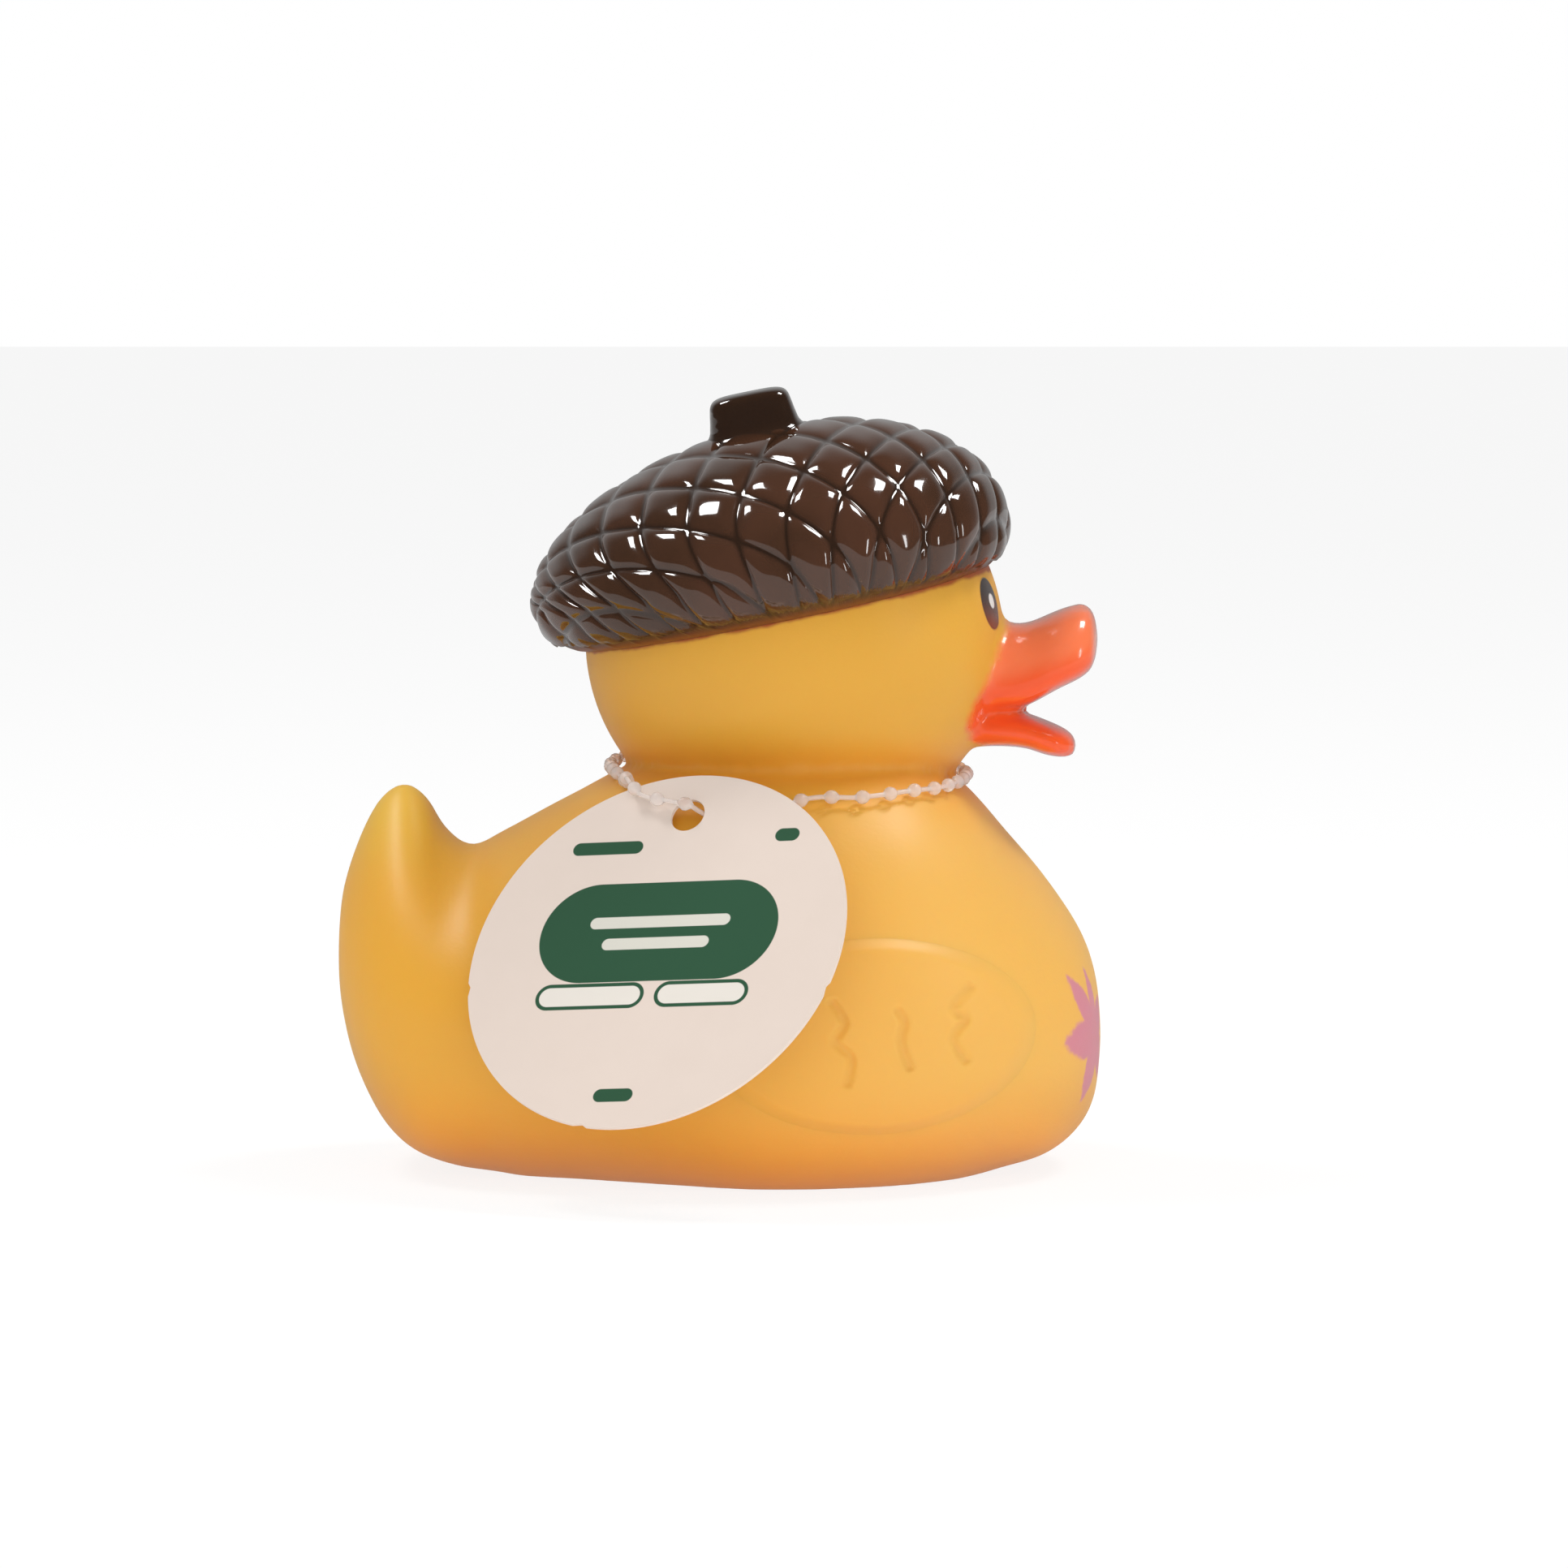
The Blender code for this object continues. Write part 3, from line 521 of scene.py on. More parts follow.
def body_rows():
    """Each row: top rail share and height, bottom rail share and height, half width,
    height of the widest point, pinch, upper and lower fullness."""
    tail, saddle, top, floor = TAIL_HEIGHT, SADDLE_HEIGHT, SHOULDER_HEIGHT, -BASE_SINK
    arch = top - saddle
    return [
        (0.000, 0.57 * tail, 0.000, 0.57 * tail, 0.00, 0.57 * tail, 0.00, 2.00, 2.0),
        (0.006, 0.72 * tail, 0.004, 0.44 * tail, 0.22, 0.55 * tail, 0.15, 2.00, 2.2),
        (0.028, 0.86 * tail, 0.018, 0.31 * tail, 0.37, 0.50 * tail, 0.35, 2.00, 2.4),
        (0.055, 0.96 * tail, 0.040, 0.20 * tail, 0.49, 0.47 * tail, 0.50, 2.00, 2.5),
        (0.086, tail, 0.068, 0.11 * tail, 0.58, 0.45 * tail, 0.56, 2.00, 2.6),
        (0.115, 0.965 * tail, 0.105, 0.05 * tail, 0.65, 0.43 * tail, 0.54, 2.00, 2.8),
        (0.140, 0.885 * tail, 0.156, 0.012 * tail, 0.71, 0.42 * tail, 0.42, 2.00, 2.6),
        (0.174, saddle, 0.212, 0.2 * floor, 0.77, 0.41 * tail, 0.20, 2.05, 2.4),
        (0.218, saddle + 0.13 * arch, 0.250, 0.7 * floor, 0.83, 0.40 * tail, 0.05, 2.20, 2.3),
        (0.305, saddle + 0.44 * arch, 0.330, 0.9 * floor, 0.92, 0.39 * tail, 0.00, 2.35, 2.4),
        (0.420, saddle + 0.81 * arch, 0.430, 1.2 * floor, 0.98, 0.38 * tail, 0.00, 2.45, 2.7),
        (0.580, top, 0.560, 1.6 * floor, 1.00, 0.37 * tail, 0.00, 2.50, 3.2),
        (0.720, saddle + 0.93 * arch, 0.690, 1.5 * floor, 0.96, 0.36 * tail, 0.00, 2.45, 3.0),
        (0.810, saddle + 0.60 * arch, 0.790, floor, 0.87, 0.35 * tail, 0.00, 2.35, 2.6),
        (0.880, saddle + 0.09 * arch, 0.865, 0.004 * tail, 0.74, 0.35 * tail, 0.00, 2.25, 2.4),
        (0.930, 0.745 * tail, 0.925, 0.040 * tail, 0.60, 0.34 * tail, 0.00, 2.15, 2.5),
        (0.974, 0.610 * tail, 0.967, 0.100 * tail, 0.44, 0.34 * tail, 0.00, 2.05, 2.3),
        (0.994, 0.485 * tail, 0.991, 0.185 * tail, 0.25, 0.34 * tail, 0.00, 2.00, 2.0),
        (1.000, 0.335 * tail, 1.000, 0.335 * tail, 0.00, 0.335 * tail, 0.00, 2.00, 2.0),
    ]


ROWS = body_rows()


def body_point(u, v):
    """Point of the skin: u goes round from the underside, v from tail to chest."""
    top_at, top, low_at, low, wide, widest, pinch, upper, lower = smooth_row(ROWS, v)
    turn = 2 * pi * u - pi
    side, up = sin(turn), cos(turn)
    power, reach = (upper, top - widest) if up >= 0 else (lower, low - widest)
    rise = abs(up) ** (2 / power)
    y = max(0.0, wide) * BODY_WIDTH / 2 * signed_power(side, 2 / power)
    if up > 0:
        y *= 1 - pinch * rise ** 2
    z = widest + reach * rise
    share = (top - z) / (top - low) if top != low else 0.0
    return Vector((BODY_REAR + (top_at + (low_at - top_at) * share) * BODY_LENGTH, y, z))


def flank(x, z):
    """Half width of the body at a place on its side."""
    low, high = 0.0, 1.0
    for _ in range(SEARCH_STEPS):
        v = (low + high) / 2
        row = smooth_row(ROWS, v)
        share = (row[1] - z) / (row[1] - row[3])
        here = BODY_REAR + (row[0] + (row[2] - row[0]) * share) * BODY_LENGTH
        low, high = (v, high) if here < x else (low, v)
    widest, pinch, upper, lower = row[5:]
    above = z >= widest
    power, reach = (upper, row[1] - widest) if above else (lower, widest - row[3])
    rise = min(1.0, abs(z - widest) / reach)
    half = row[4] * BODY_WIDTH / 2 * (1 - rise ** power) ** (1 / power)
    return half * (1 - pinch * rise ** 2) if above else half


def shoulder(x, y):
    """Height of the body's upper side at a place in plan."""
    low, high = 15 * MM, SHOULDER_HEIGHT * 1.02
    for _ in range(SEARCH_STEPS):
        z = (low + high) / 2
        low, high = (z, high) if flank(x, z) > abs(y) else (low, z)
    return z


# %% Bill form
def bill_half(rows, tip, half, waist):
    """Rows give forward share, lower and upper height in mm, and width share. The waist is how
    far up the widest line lies."""
    def place(u, v):
        forward, low, high, width = smooth_row(rows, v)
        turn = 2 * pi * u
        y = half * max(0.0, width) * signed_power(sin(turn), 0.8)
        middle = low + waist * (high - low)
        end = low if cos(turn) >= 0 else high
        z = (middle + (end - middle) * abs(cos(turn)) ** 0.9) * MM
        return Vector((BILL_ROOT + (tip - BILL_ROOT) * forward, y, z))
    return wrap_grid(72, 60, place)


UPPER_BILL = [
    (0.00, 56.0, 66.2, 0.86), (0.30, 56.4, 67.0, 0.92), (0.48, 57.1, 67.1, 0.96), (0.70, 59.1, 68.6, 1.00),
    (0.86, 60.4, 69.4, 0.90), (0.955, 61.9, 68.7, 0.68), (1.00, 65.2, 65.2, 0.0)]
LOWER_BILL = [
    (0.00, 51.9, 56.4, 0.92), (0.36, 52.0, 56.4, 1.00), (0.56, 51.7, 55.9, 1.00), (0.70, 51.0, 55.2, 0.96),
    (0.85, 50.6, 54.3, 0.84), (0.95, 50.8, 53.4, 0.60), (1.00, 52.1, 52.1, 0.0)]

# %% [markdown]
# ## One skin
#
# On the toy, body, head and bill are one moulding with soft creases between them. A plain boolean
# union would leave sharp lines there. So the forms are put in one mesh, a voxel remesh melts them
# into a single skin, and the smoothing after it rounds the creases, as the mould does. The hole
# for the squeaker is cut last, so that its edges stay crisp.

# %% Join the forms
def head_form():
    bm = bmesh.new()
    bmesh.ops.create_uvsphere(bm, u_segments=160, v_segments=100, radius=0.5)
    bmesh.ops.scale(bm, vec=HEAD_SIZE, verts=bm.verts)
    bmesh.ops.translate(bm, vec=(HEAD_X, 0, HEAD_HEIGHT), verts=bm.verts)
    return bm


def body_form():
    bm = wrap_grid(200, 200, body_point)
    cut = bmesh.ops.bisect_plane(
        bm, geom=bm.verts[:] + bm.edges[:] + bm.faces[:], dist=HAIR,
        plane_co=(0, 0, 0), plane_no=(0, 0, -1), clear_outer=True)
    bmesh.ops.contextual_create(bm, geom=only(bmesh.types.BMEdge, cut["geom_cut"]))
    return bm


def joined(*forms):
    """Several working meshes as one."""
    whole = bmesh.new()
    for bm in forms:
        bmesh.ops.recalc_face_normals(bm, faces=bm.faces)
        part = bpy.data.meshes.new("part")
        bm.to_mesh(part)
        bm.free()
        whole.from_mesh(part)
        bpy.data.meshes.remove(part)
    return whole


SQUEAKER_MIDDLE = (-16 * MM, 0, 0)
HOLE_STEPS = [(0, -2), (6.3, -2), (6.3, 1.4), (4.8, 1.4), (4.8, 9), (0, 9)]


def squeaker_hole():
    """The stepped hole in the base: radius and height of each corner, in mm, turned once round."""
    bm = bmesh.new()
    verts = [
        bm.verts.new((SQUEAKER_MIDDLE[0] + radius * MM, 0, high * MM)) for radius, high in HOLE_STEPS]
    edges = [bm.edges.new((a, b)) for a, b in zip(verts, verts[1:] + verts[:1])]
    bmesh.ops.spin(
        bm, geom=verts + edges, cent=SQUEAKER_MIDDLE, axis=(0, 0, 1), angle=2 * pi, steps=64,
        use_merge=True)
    bmesh.ops.remove_doubles(bm, verts=bm.verts, dist=HAIR)
    hole = finish(bm, "squeaker_hole", None)
    hole.hide_render = True
    hole.display_type = "WIRE"
    return hole


SKIN_VOXEL = 0.68 * MM
skin = finish(
    joined(body_form(), head_form(), bill_half(UPPER_BILL, 45.3 * MM, 9.8 * MM, 0.25),
           bill_half(LOWER_BILL, 42.8 * MM, 7.8 * MM, 0.5)),
    "duck_skin", "vinyl", VINYL)
melt = skin.modifiers.new("melt", "REMESH")
melt.mode = "VOXEL"
melt.voxel_size = SKIN_VOXEL
melt.use_smooth_shade = True
soften = skin.modifiers.new("soften", "SMOOTH")
soften.factor, soften.iterations = 0.5, 8
hollow = skin.modifiers.new("hollow", "BOOLEAN")
hollow.operation, hollow.solver, hollow.object = "DIFFERENCE", "EXACT", squeaker_hole()
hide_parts("duck_body")

# %% [markdown]
# ## Wings
#
# Each wing is a low oval swelling on the flank with three wavy columns of feather marks pressed
# into it. It belongs to the same moulding, but the marks are finer than the skin's voxels. A bump
# in the material would be lost in the mesh that is kept. So each wing is a dense patch of its own
# that follows the flank, swells by a millimetre and sinks into the skin at its edge.

# %% Wings
WING_X, WING_HEIGHT = 17.3 * MM, 19.5 * MM
WING_LENGTH, WING_DEPTH, WING_RISE, WING_SINK = 40.6 * MM, 24.3 * MM, 1.0 * MM, 0.12 * MM
FEATHER_MARKS = [
    [(29.0, 25.1), (26.9, 22.7), (28.4, 21.3), (26.9, 19.1), (28.4, 16.4)],
    [(20.3, 22.7), (21.0, 21.3), (20.6, 19.1), (21.6, 16.0)],
    [(12.4, 23.8), (13.8, 21.5), (12.8, 19.3), (14.6, 17.2), (14.2, 14.2)],
]
MARK_DEPTH, MARK_CORE, MARK_EDGE = 0.5 * MM, 0.15 * MM, 0.8 * MM
MARK_PATHS = [smooth_path([Vector(point) * MM for point in marks], 8) for marks in FEATHER_MARKS]


def mark_depth(x, z):
    """How far a feather mark is pressed in at a place on the wing."""
    here = Vector((x, z))
    near = min((here - point).length for path in MARK_PATHS for point in path)
    return MARK_DEPTH * (1 - smooth_step(MARK_CORE, MARK_EDGE, near))


def wing(name, side):
    """One wing. Side is -1 for the duck's right and 1 for its left."""
    def place(turn, out):
        x = WING_X + WING_LENGTH / 2 * out * cos(turn)
        z = WING_HEIGHT + WING_DEPTH / 2 * out * sin(turn)
        rise = WING_RISE * (1 - smooth_step(0.84, 1.0, out)) - WING_SINK * smooth_step(0.9, 1.0, out)
        return Vector((x, side * (flank(x, z) + rise - mark_depth(x, z)), z))
    bm = bmesh.new()
    bmesh.ops.create_grid(bm, x_segments=140, y_segments=56, size=0.5)
    for vert in bm.verts:
        vert.co = place(2 * pi * (vert.co.x + 0.5), vert.co.y + 0.5)
    bmesh.ops.remove_doubles(bm, verts=bm.verts, dist=WELD)
    finish(bm, name, "vinyl", VINYL)


wing("wing_right", -1)
wing("wing_left", 1)

# %% [markdown]
# ## The acorn cap
#
# The cap is part of the moulding: a tilted dome, longer at the back, with slanted tiles that are
# puffed like a quilt and a rim that curls in under it. Each tile could be a piece of its own laid
# on the dome, but then the channels between them would be gaps. Here a slanted grid of tiles is
# drawn on a flat disc, and the disc is laid over the dome: the distance from the middle becomes
# the length of skin from the apex, so the tiles keep their size down to the rim.

# %% Cap form
CAP_FRONT, CAP_REAR, CAP_SIDE = 27.9 * MM, 30.7 * MM, 28.8 * MM
CAP_HEIGHT, CAP_LIP, CAP_TUCK = 22.0 * MM, 6.0 * MM, 5.0 * MM
TILE_ACROSS, TILE_ALONG, TILE_RISE = 6.2 * MM, 7.3 * MM, 0.78 * MM
CAP_PLACE = Matrix.Translation((CAP_X, 0, CAP_RIM_HEIGHT)) @ Matrix.Rotation(-CAP_TILT, 4, "Y")
QUARTER = 1.03 * pi / 2 * sqrt(((CAP_HEIGHT - CAP_LIP) ** 2 + ((CAP_FRONT + CAP_REAR) / 2) ** 2) / 2)
CURL = pi / 2 * (CAP_LIP + CAP_TUCK) / 2
LINE_TURN, LINES_APART = -108, 61
LINE_A = Vector((cos(radians(LINE_TURN)), sin(radians(LINE_TURN))))
LINE_B = Vector((cos(radians(LINE_TURN + LINES_APART)), sin(radians(LINE_TURN + LINES_APART))))
LATTICE_START = Vector((-2.3, -0.9)) * MM
LINE_DRIFT, DRIFT_FROM, DRIFT_MOST = 0.12 / 0.875, 0.65, 1.3
TILE_POINTS, DISC_SIDES, TUCK_IN = 16, 96, 0.8


def cap_point(heading, run):
    """Point of the cap: heading goes round the stem, run is the skin's length from the apex."""
    front = cos(heading)
    reach = CAP_FRONT if front > 0 else CAP_REAR
    fullness = 2.02 + 0.18 * front
    if run <= QUARTER:
        angle = run / QUARTER * pi / 2
        out = sin(angle) ** (2 / fullness)
        high = CAP_LIP + (CAP_HEIGHT - CAP_LIP) * cos(angle) ** (2 / fullness)
    else:
        angle = min(1.0, (run - QUARTER) / CURL) * pi / 2
        out = 1 - CAP_TUCK / CAP_SIDE * (1 - cos(angle))
        high = CAP_LIP * (1 - sin(angle))
    return Vector((reach * out * front, CAP_SIDE * out * sin(heading), high))


def cap_normal(heading, run):
    """Outward direction of the cap's skin."""
    step = 0.2 * MM
    run = min(max(run, 2 * step), QUARTER + CURL - step)
    down = cap_point(heading, run + step) - cap_point(heading, run - step)
    turn = step / max(run, 4 * step)
    about = cap_point(heading + turn, run) - cap_point(heading - turn, run)
    normal = about.cross(down).normalized()
    outward = Vector((cos(heading), sin(heading), 1.0))
    return normal if normal.dot(outward) > 0 else -normal


def pillow(part):
    """Height share across a tile: a full pillow with a narrow channel at both sides."""
    away = abs(2 * (part % 1.0) - 1)
    return max(0.0, 1 - away ** 3.6) ** 0.9


def tile_sheet(reach):
    """A flat sheet of slanted tiles. Each vertex keeps how high it stands on its tile."""
    tiles = 2 * ceil(reach / TILE_ACROSS * 1.12)
    bm = bmesh.new()
    bmesh.ops.create_grid(bm, x_segments=TILE_POINTS * tiles, y_segments=TILE_POINTS * tiles, size=0.5)
    puff = bm.verts.layers.float.new("puff")
    for vert in bm.verts:
        i, j = vert.co.x * tiles, vert.co.y * tiles
        steps = LINE_A * i * TILE_ALONG + LINE_B * j * TILE_ACROSS
        flat = LATTICE_START + steps / sin(radians(LINES_APART))
        drift = max(0.0, flat.length / QUARTER - DRIFT_FROM) / (1 - DRIFT_FROM)
        flat += LINE_B * LINE_DRIFT * QUARTER * min(drift, DRIFT_MOST) ** 2
        vert[puff] = pillow(i) * pillow(j)
        vert.co = (flat.x, flat.y, 0)
    return bm


def trim_round(bm, reach):
    """Cut the sheet to a disc."""
    for k in range(DISC_SIDES):
        turn = 2 * pi * (k + 0.5) / DISC_SIDES
        facing = (cos(turn), sin(turn), 0)
        bmesh.ops.bisect_plane(
            bm, geom=bm.verts[:] + bm.edges[:] + bm.faces[:], dist=0.01 * MM,
            plane_co=[reach * part for part in facing], plane_no=facing, clear_outer=True)


def cap_skin(mat):
    """The disc laid over the dome, with its rim tucked in under it."""
    reach = QUARTER + CURL
    bm = tile_sheet(reach)
    trim_round(bm, reach)
    puff = bm.verts.layers.float["puff"]
    for vert in bm.verts:
        run, heading = vert.co.length, atan2(vert.co.y, vert.co.x)
        fade = smooth_step(QUARTER + 0.35 * CURL, QUARTER + 0.85 * CURL, run)
        rise = TILE_RISE * vert[puff] * (1 - fade)
        vert.co = cap_point(heading, run) + cap_normal(heading, run) * rise
    rim = [edge for edge in bm.edges if edge.is_boundary]
    tuck = bmesh.ops.extrude_edge_only(bm, edges=rim)["geom"]
    bmesh.ops.scale(bm, vec=(TUCK_IN, TUCK_IN, 1), verts=only(bmesh.types.BMVert, tuck))
    bmesh.ops.transform(bm, matrix=CAP_PLACE, verts=bm.verts)
    finish(bm, "acorn_cap", "vinyl", mat)


def stem(mat):
    """A short square stem with rounded edges and a flared foot. Rows give height, half length
    and half width in mm, and how square the section is."""
    rows = [
        (19.6, 10.5, 9.6, 2.0), (20.9, 8.6, 7.8, 2.1), (21.8, 6.6, 6.0, 2.5), (22.6, 5.7, 5.1, 3.2),
        (23.8, 5.35, 4.7, 3.8), (25.2, 5.1, 4.5, 4.0), (26.2, 4.85, 4.3, 4.0), (26.8, 4.3, 3.8, 3.6),
        (27.1, 3.2, 2.8, 3.0), (27.15, 1.4, 1.2, 2.5), (27.15, 0.0, 0.0, 2.0)]
    def place(u, v):
        high, long, wide, power = smooth_row(rows, v)
        turn = 2 * pi * u
        x = max(0.0, long) * signed_power(cos(turn), 2 / power)
        y = max(0.0, wide) * signed_power(sin(turn), 2 / power)
        return CAP_PLACE @ (Vector((x, y, high)) * MM)
    finish(wrap_grid(96, 60, place), "cap_stem", "vinyl", mat)


# %% [markdown]
# ## The cap's brown gloss
#
# The cap is sprayed brown and shines like varnish. It is a dark base with a clear coat, since one
# glossy layer alone would lose either the brown or the crisp highlights. The channels carry painted
# shade: they are painted darker, and so the tiles' own height drives the colour. Close to the rim
# the spray thins out: it turns redder and duller.

# %% Cap paint
# The channel brown is painted shade for the channels between the tiles.
BROWN = {
    "deep": (0.052, 0.022, 0.010, 1), "light": (0.077, 0.031, 0.016, 1),
    "channel": (0.030, 0.013, 0.006, 1), "rim": (0.20, 0.05, 0.01, 1)}
RIM_COAT, RIM_ROUGHER = 0.15, 0.35


def cap_material():
    mat, tree, shader = new_material(
        "brown_gloss", (0.05, 0.02, 0.01), 0.16, coat_weight=1.0, coat_roughness=0.03, coat_ior=1.6)
    here = object_place(tree)
    x, _, z = split(tree, here)
    above = above_rim(tree, x, z)
    puff = tree.nodes.new("ShaderNodeAttribute")
    puff.attribute_name = "puff"
    mottle = remap(tree, noise_value(tree, here, 60.0, 3.0), 0.35, 0.65)
    base = paint(tree, BROWN["deep"], BROWN["light"], mottle)
    # Painted shade: the channels between the tiles are painted darker.
    base = paint(tree, BROWN["channel"], base, remap(tree, puff.outputs["Fac"], 0.0, 0.5))
    base = paint(tree, base, BROWN["rim"], remap(tree, above, 1.4 * MM, 0.1 * MM))
    tree.links.new(base, shader.inputs["Base Color"])
    dull = remap(tree, above, 2.8 * MM, 0.6 * MM)
    coat = remap(tree, dull, 0.0, 1.0, 1.0, RIM_COAT, smooth=False)
    tree.links.new(coat, shader.inputs["Coat Weight"])
    rough = plus(tree, noise_between(tree, here, 250.0, 0.09, 0.13), times(tree, dull, RIM_ROUGHER))
    tree.links.new(rough, shader.inputs["Roughness"])
    return mat


BROWN_GLOSS = cap_material()
cap_skin(BROWN_GLOSS)
stem(BROWN_GLOSS)

# %% [markdown]
# ## The hang tag
#
# The tag is a disc of cream card, die-cut from a sheet: it has a punched hole, and three small
# nicks where it was held until it was broken out. It could be a scaled cylinder, but the hole and
# the nicks need an outline, so two circles are filled and lifted to the card's thickness. It lies
# in the plane that the photo shows, leaning back on the flank. The print is plain: one green
# field with two pale bars on it, and a few bars round it.

# %% Tag place
TAG_DIAMETER, TAG_THICK, TAG_HOLE, TAG_HOLE_EDGE = 49.0 * MM, 0.45 * MM, 4.4 * MM, 5.6 * MM
HOLE_UP = TAG_DIAMETER / 2 - TAG_HOLE_EDGE


def tag_place():
    """The tag's own axes: its print's right and up, and the way that it faces."""
    up = Vector((0.198, 0.555, 0.808)).normalized()
    right = up.cross(Vector((-0.383, -0.715, 0.585))).normalized()
    facing = right.cross(up)
    low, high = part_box("hang_tag")
    middle = (Vector(low) + Vector(high)) / 2
    return Matrix.Translation(middle) @ Matrix((right, up, facing)).transposed().to_4x4()


TAG_PLACE = tag_place()


# %% Card print
GREEN, CREAM, PALE = (0.010, 0.085, 0.033, 1), (0.70, 0.68, 0.60, 1), (0.80, 0.75, 0.68, 1)
CARD_TONES = (0.79, 0.67, 0.59, 1), (0.76, 0.64, 0.56, 1)
PRINTED_BARS = [
    (GREEN, -16.0, 15.5, 2.6, 6.9), (CREAM, -9.6, 9.0, 4.0, 0.8), (CREAM, -7.4, 6.8, 1.0, 0.8),
    (GREEN, -14.6, -0.2, -6.2, 1.8), (PALE, -14.1, -0.7, -6.2, 1.3),
    (GREEN, 1.2, 13.6, -6.2, 1.8), (PALE, 1.7, 13.1, -6.2, 1.3),
    (GREEN, -14.4, -5.0, 14.6, 0.9), (GREEN, 12.4, 15.6, 15.6, 0.9), (GREEN, -3.7, 1.5, -20.0, 0.9)]


def card_material():
    """Each bar is a colour, its left and right ends, its middle height and half its height, in mm."""
    mat, tree, shader = new_material("card", (0.79, 0.70, 0.62), 0.7)
    uv = tree.nodes.new("ShaderNodeUVMap")
    uv.uv_map = "print"
    across, up, _ = (
        remap(tree, part, 0.0, 1.0, -TAG_DIAMETER / 2, TAG_DIAMETER / 2, smooth=False)
        for part in split(tree, uv.outputs["UV"]))
    base = paint(tree, *CARD_TONES, noise_value(tree, object_place(tree), 200.0, 4.0))
    for colour, left, right, middle, half in PRINTED_BARS:
        mask = use_group(
            tree, BAR, across=across, up=up, left=left * MM, right=right * MM, middle=middle * MM,
            half_tall=half * MM)
        base = paint(tree, base, colour, mask)
    tree.links.new(base, shader.inputs["Base Color"])
    return mat


# %% Card shape
NICKS, NICK_DEPTH = (-14.0, 191.0, 259.0), 0.012
UNPRINTED = (0.5, 0.98)


def hang_tag():
    """Outline and hole are filled, lifted to the card's thickness and put in place."""
    bm = bmesh.new()
    outer = bmesh.ops.create_circle(bm, segments=240, radius=TAG_DIAMETER / 2)["verts"]
    for vert in outer:
        turn = atan2(vert.co.y, vert.co.x)
        for nick in NICKS:
            off = abs((turn - radians(nick) + pi) % (2 * pi) - pi) * TAG_DIAMETER / 2
            vert.co *= 1 - NICK_DEPTH * (1 - smooth_step(0.2 * MM, 0.7 * MM, off))
    hole = bmesh.ops.create_circle(bm, segments=48, radius=TAG_HOLE / 2)["verts"]
    bmesh.ops.translate(bm, vec=(0, HOLE_UP, 0), verts=hole)
    bmesh.ops.translate(bm, vec=(0, 0, -TAG_THICK / 2), verts=outer + hole)
    bmesh.ops.triangle_fill(bm, edges=bm.edges[:], use_beauty=True, use_dissolve=False)
    lifted = bmesh.ops.extrude_face_region(bm, geom=bm.faces[:])["geom"]
    bmesh.ops.translate(bm, vec=(0, 0, TAG_THICK), verts=only(bmesh.types.BMVert, lifted))
    prints = bm.loops.layers.uv.new("print")
    for face in bm.faces:
        front = face.normal.z > 0.5 or abs(face.calc_center_median().z - TAG_THICK / 2) < 0.01 * MM
        for loop in face.loops:
            spot = loop.vert.co.xy / TAG_DIAMETER + Vector((0.5, 0.5))
            loop[prints].uv = spot if front else UNPRINTED
    bmesh.ops.transform(bm, matrix=TAG_PLACE, verts=bm.verts)
    tag = finish(bm, "card_tag", "card", card_material())
    tag.data.set_sharp_from_angle(angle=radians(40))
    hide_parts("hang_tag")


hang_tag()

# %% [markdown]
# ## The beaded loop
#
# The loop is one plastic moulding: a thin strand with small beads at even steps. It goes through
# the tag's hole, round the neck and back over the tag's rim. It could be balls threaded on a
# tube, but they are one piece and share one skin, so a single tube is drawn along the route and
# swells to a bead at each step. The route follows the shoulder's height, and stands off it by
# more where the shoulder is steep.

# %% Loop route
LOOP_PLAN = [
    (1.6, -26.6), (7.2, -25.6), (10.8, -24.0), (14.2, -21.4), (17.2, -17.8), (19.2, -13.4),
    (20.5, -8.4), (21.0, -3.0), (21.2, 3.0), (20.0, 9.2), (16.2, 14.6), (11.2, 19.0),
    (5.0, 21.4), (-1.4, 21.8), (-8.0, 20.4), (-14.0, 17.0), (-18.6, 12.2), (-21.4, 6.6),
    (-22.6, 0.6), (-22.4, -5.6), (-21.6, -11.2), (-20.3, -16.6),
]
STRAND, BEAD, PITCH, FIT = 0.6 * MM, 1.7 * MM, 3.8 * MM, 0.3 * MM


def loop_route():
    """Points from behind the tag's hole, round the neck and back to the front of the hole."""
    route = [TAG_PLACE @ (Vector(step) * MM + Vector((0, HOLE_UP, 0)))
             for step in ((1.2, 0.7, 0.0), (2.3, 0.7, -1.3), (6.2, 1.0, -2.6))]
    lift, step = BEAD / 2 + FIT, BEAD / 4
    for x, y in LOOP_PLAN:
        x, y = HEAD_X + x * MM, y * MM
        slope_x = (shoulder(x + step, y) - shoulder(x - step, y)) / (2 * step)
        slope_y = (shoulder(x, y + step) - shoulder(x, y - step)) / (2 * step)
        steep = min(2.0, sqrt(1 + slope_x ** 2 + slope_y ** 2))
        route.append(Vector((x, y, shoulder(x, y) + lift * steep)))
    route.append(TAG_PLACE @ Vector((-8.9 * MM, TAG_DIAMETER / 2 - 0.6 * MM, 1.2 * MM)))
    for step in ((-6.1, 2.3, 1.6), (-2.4, 1.3, 1.6), (0.2, 0.9, 1.2)):
        route.append(TAG_PLACE @ (Vector(step) * MM + Vector((0, HOLE_UP, 0))))
    return route


def lengths_to(path):
    """Length of a closed path up to each of its points, and all round."""
    runs = [0.0]
    for a, b in zip(path, path[1:] + path[:1]):
        runs.append(runs[-1] + (b - a).length)
    return runs


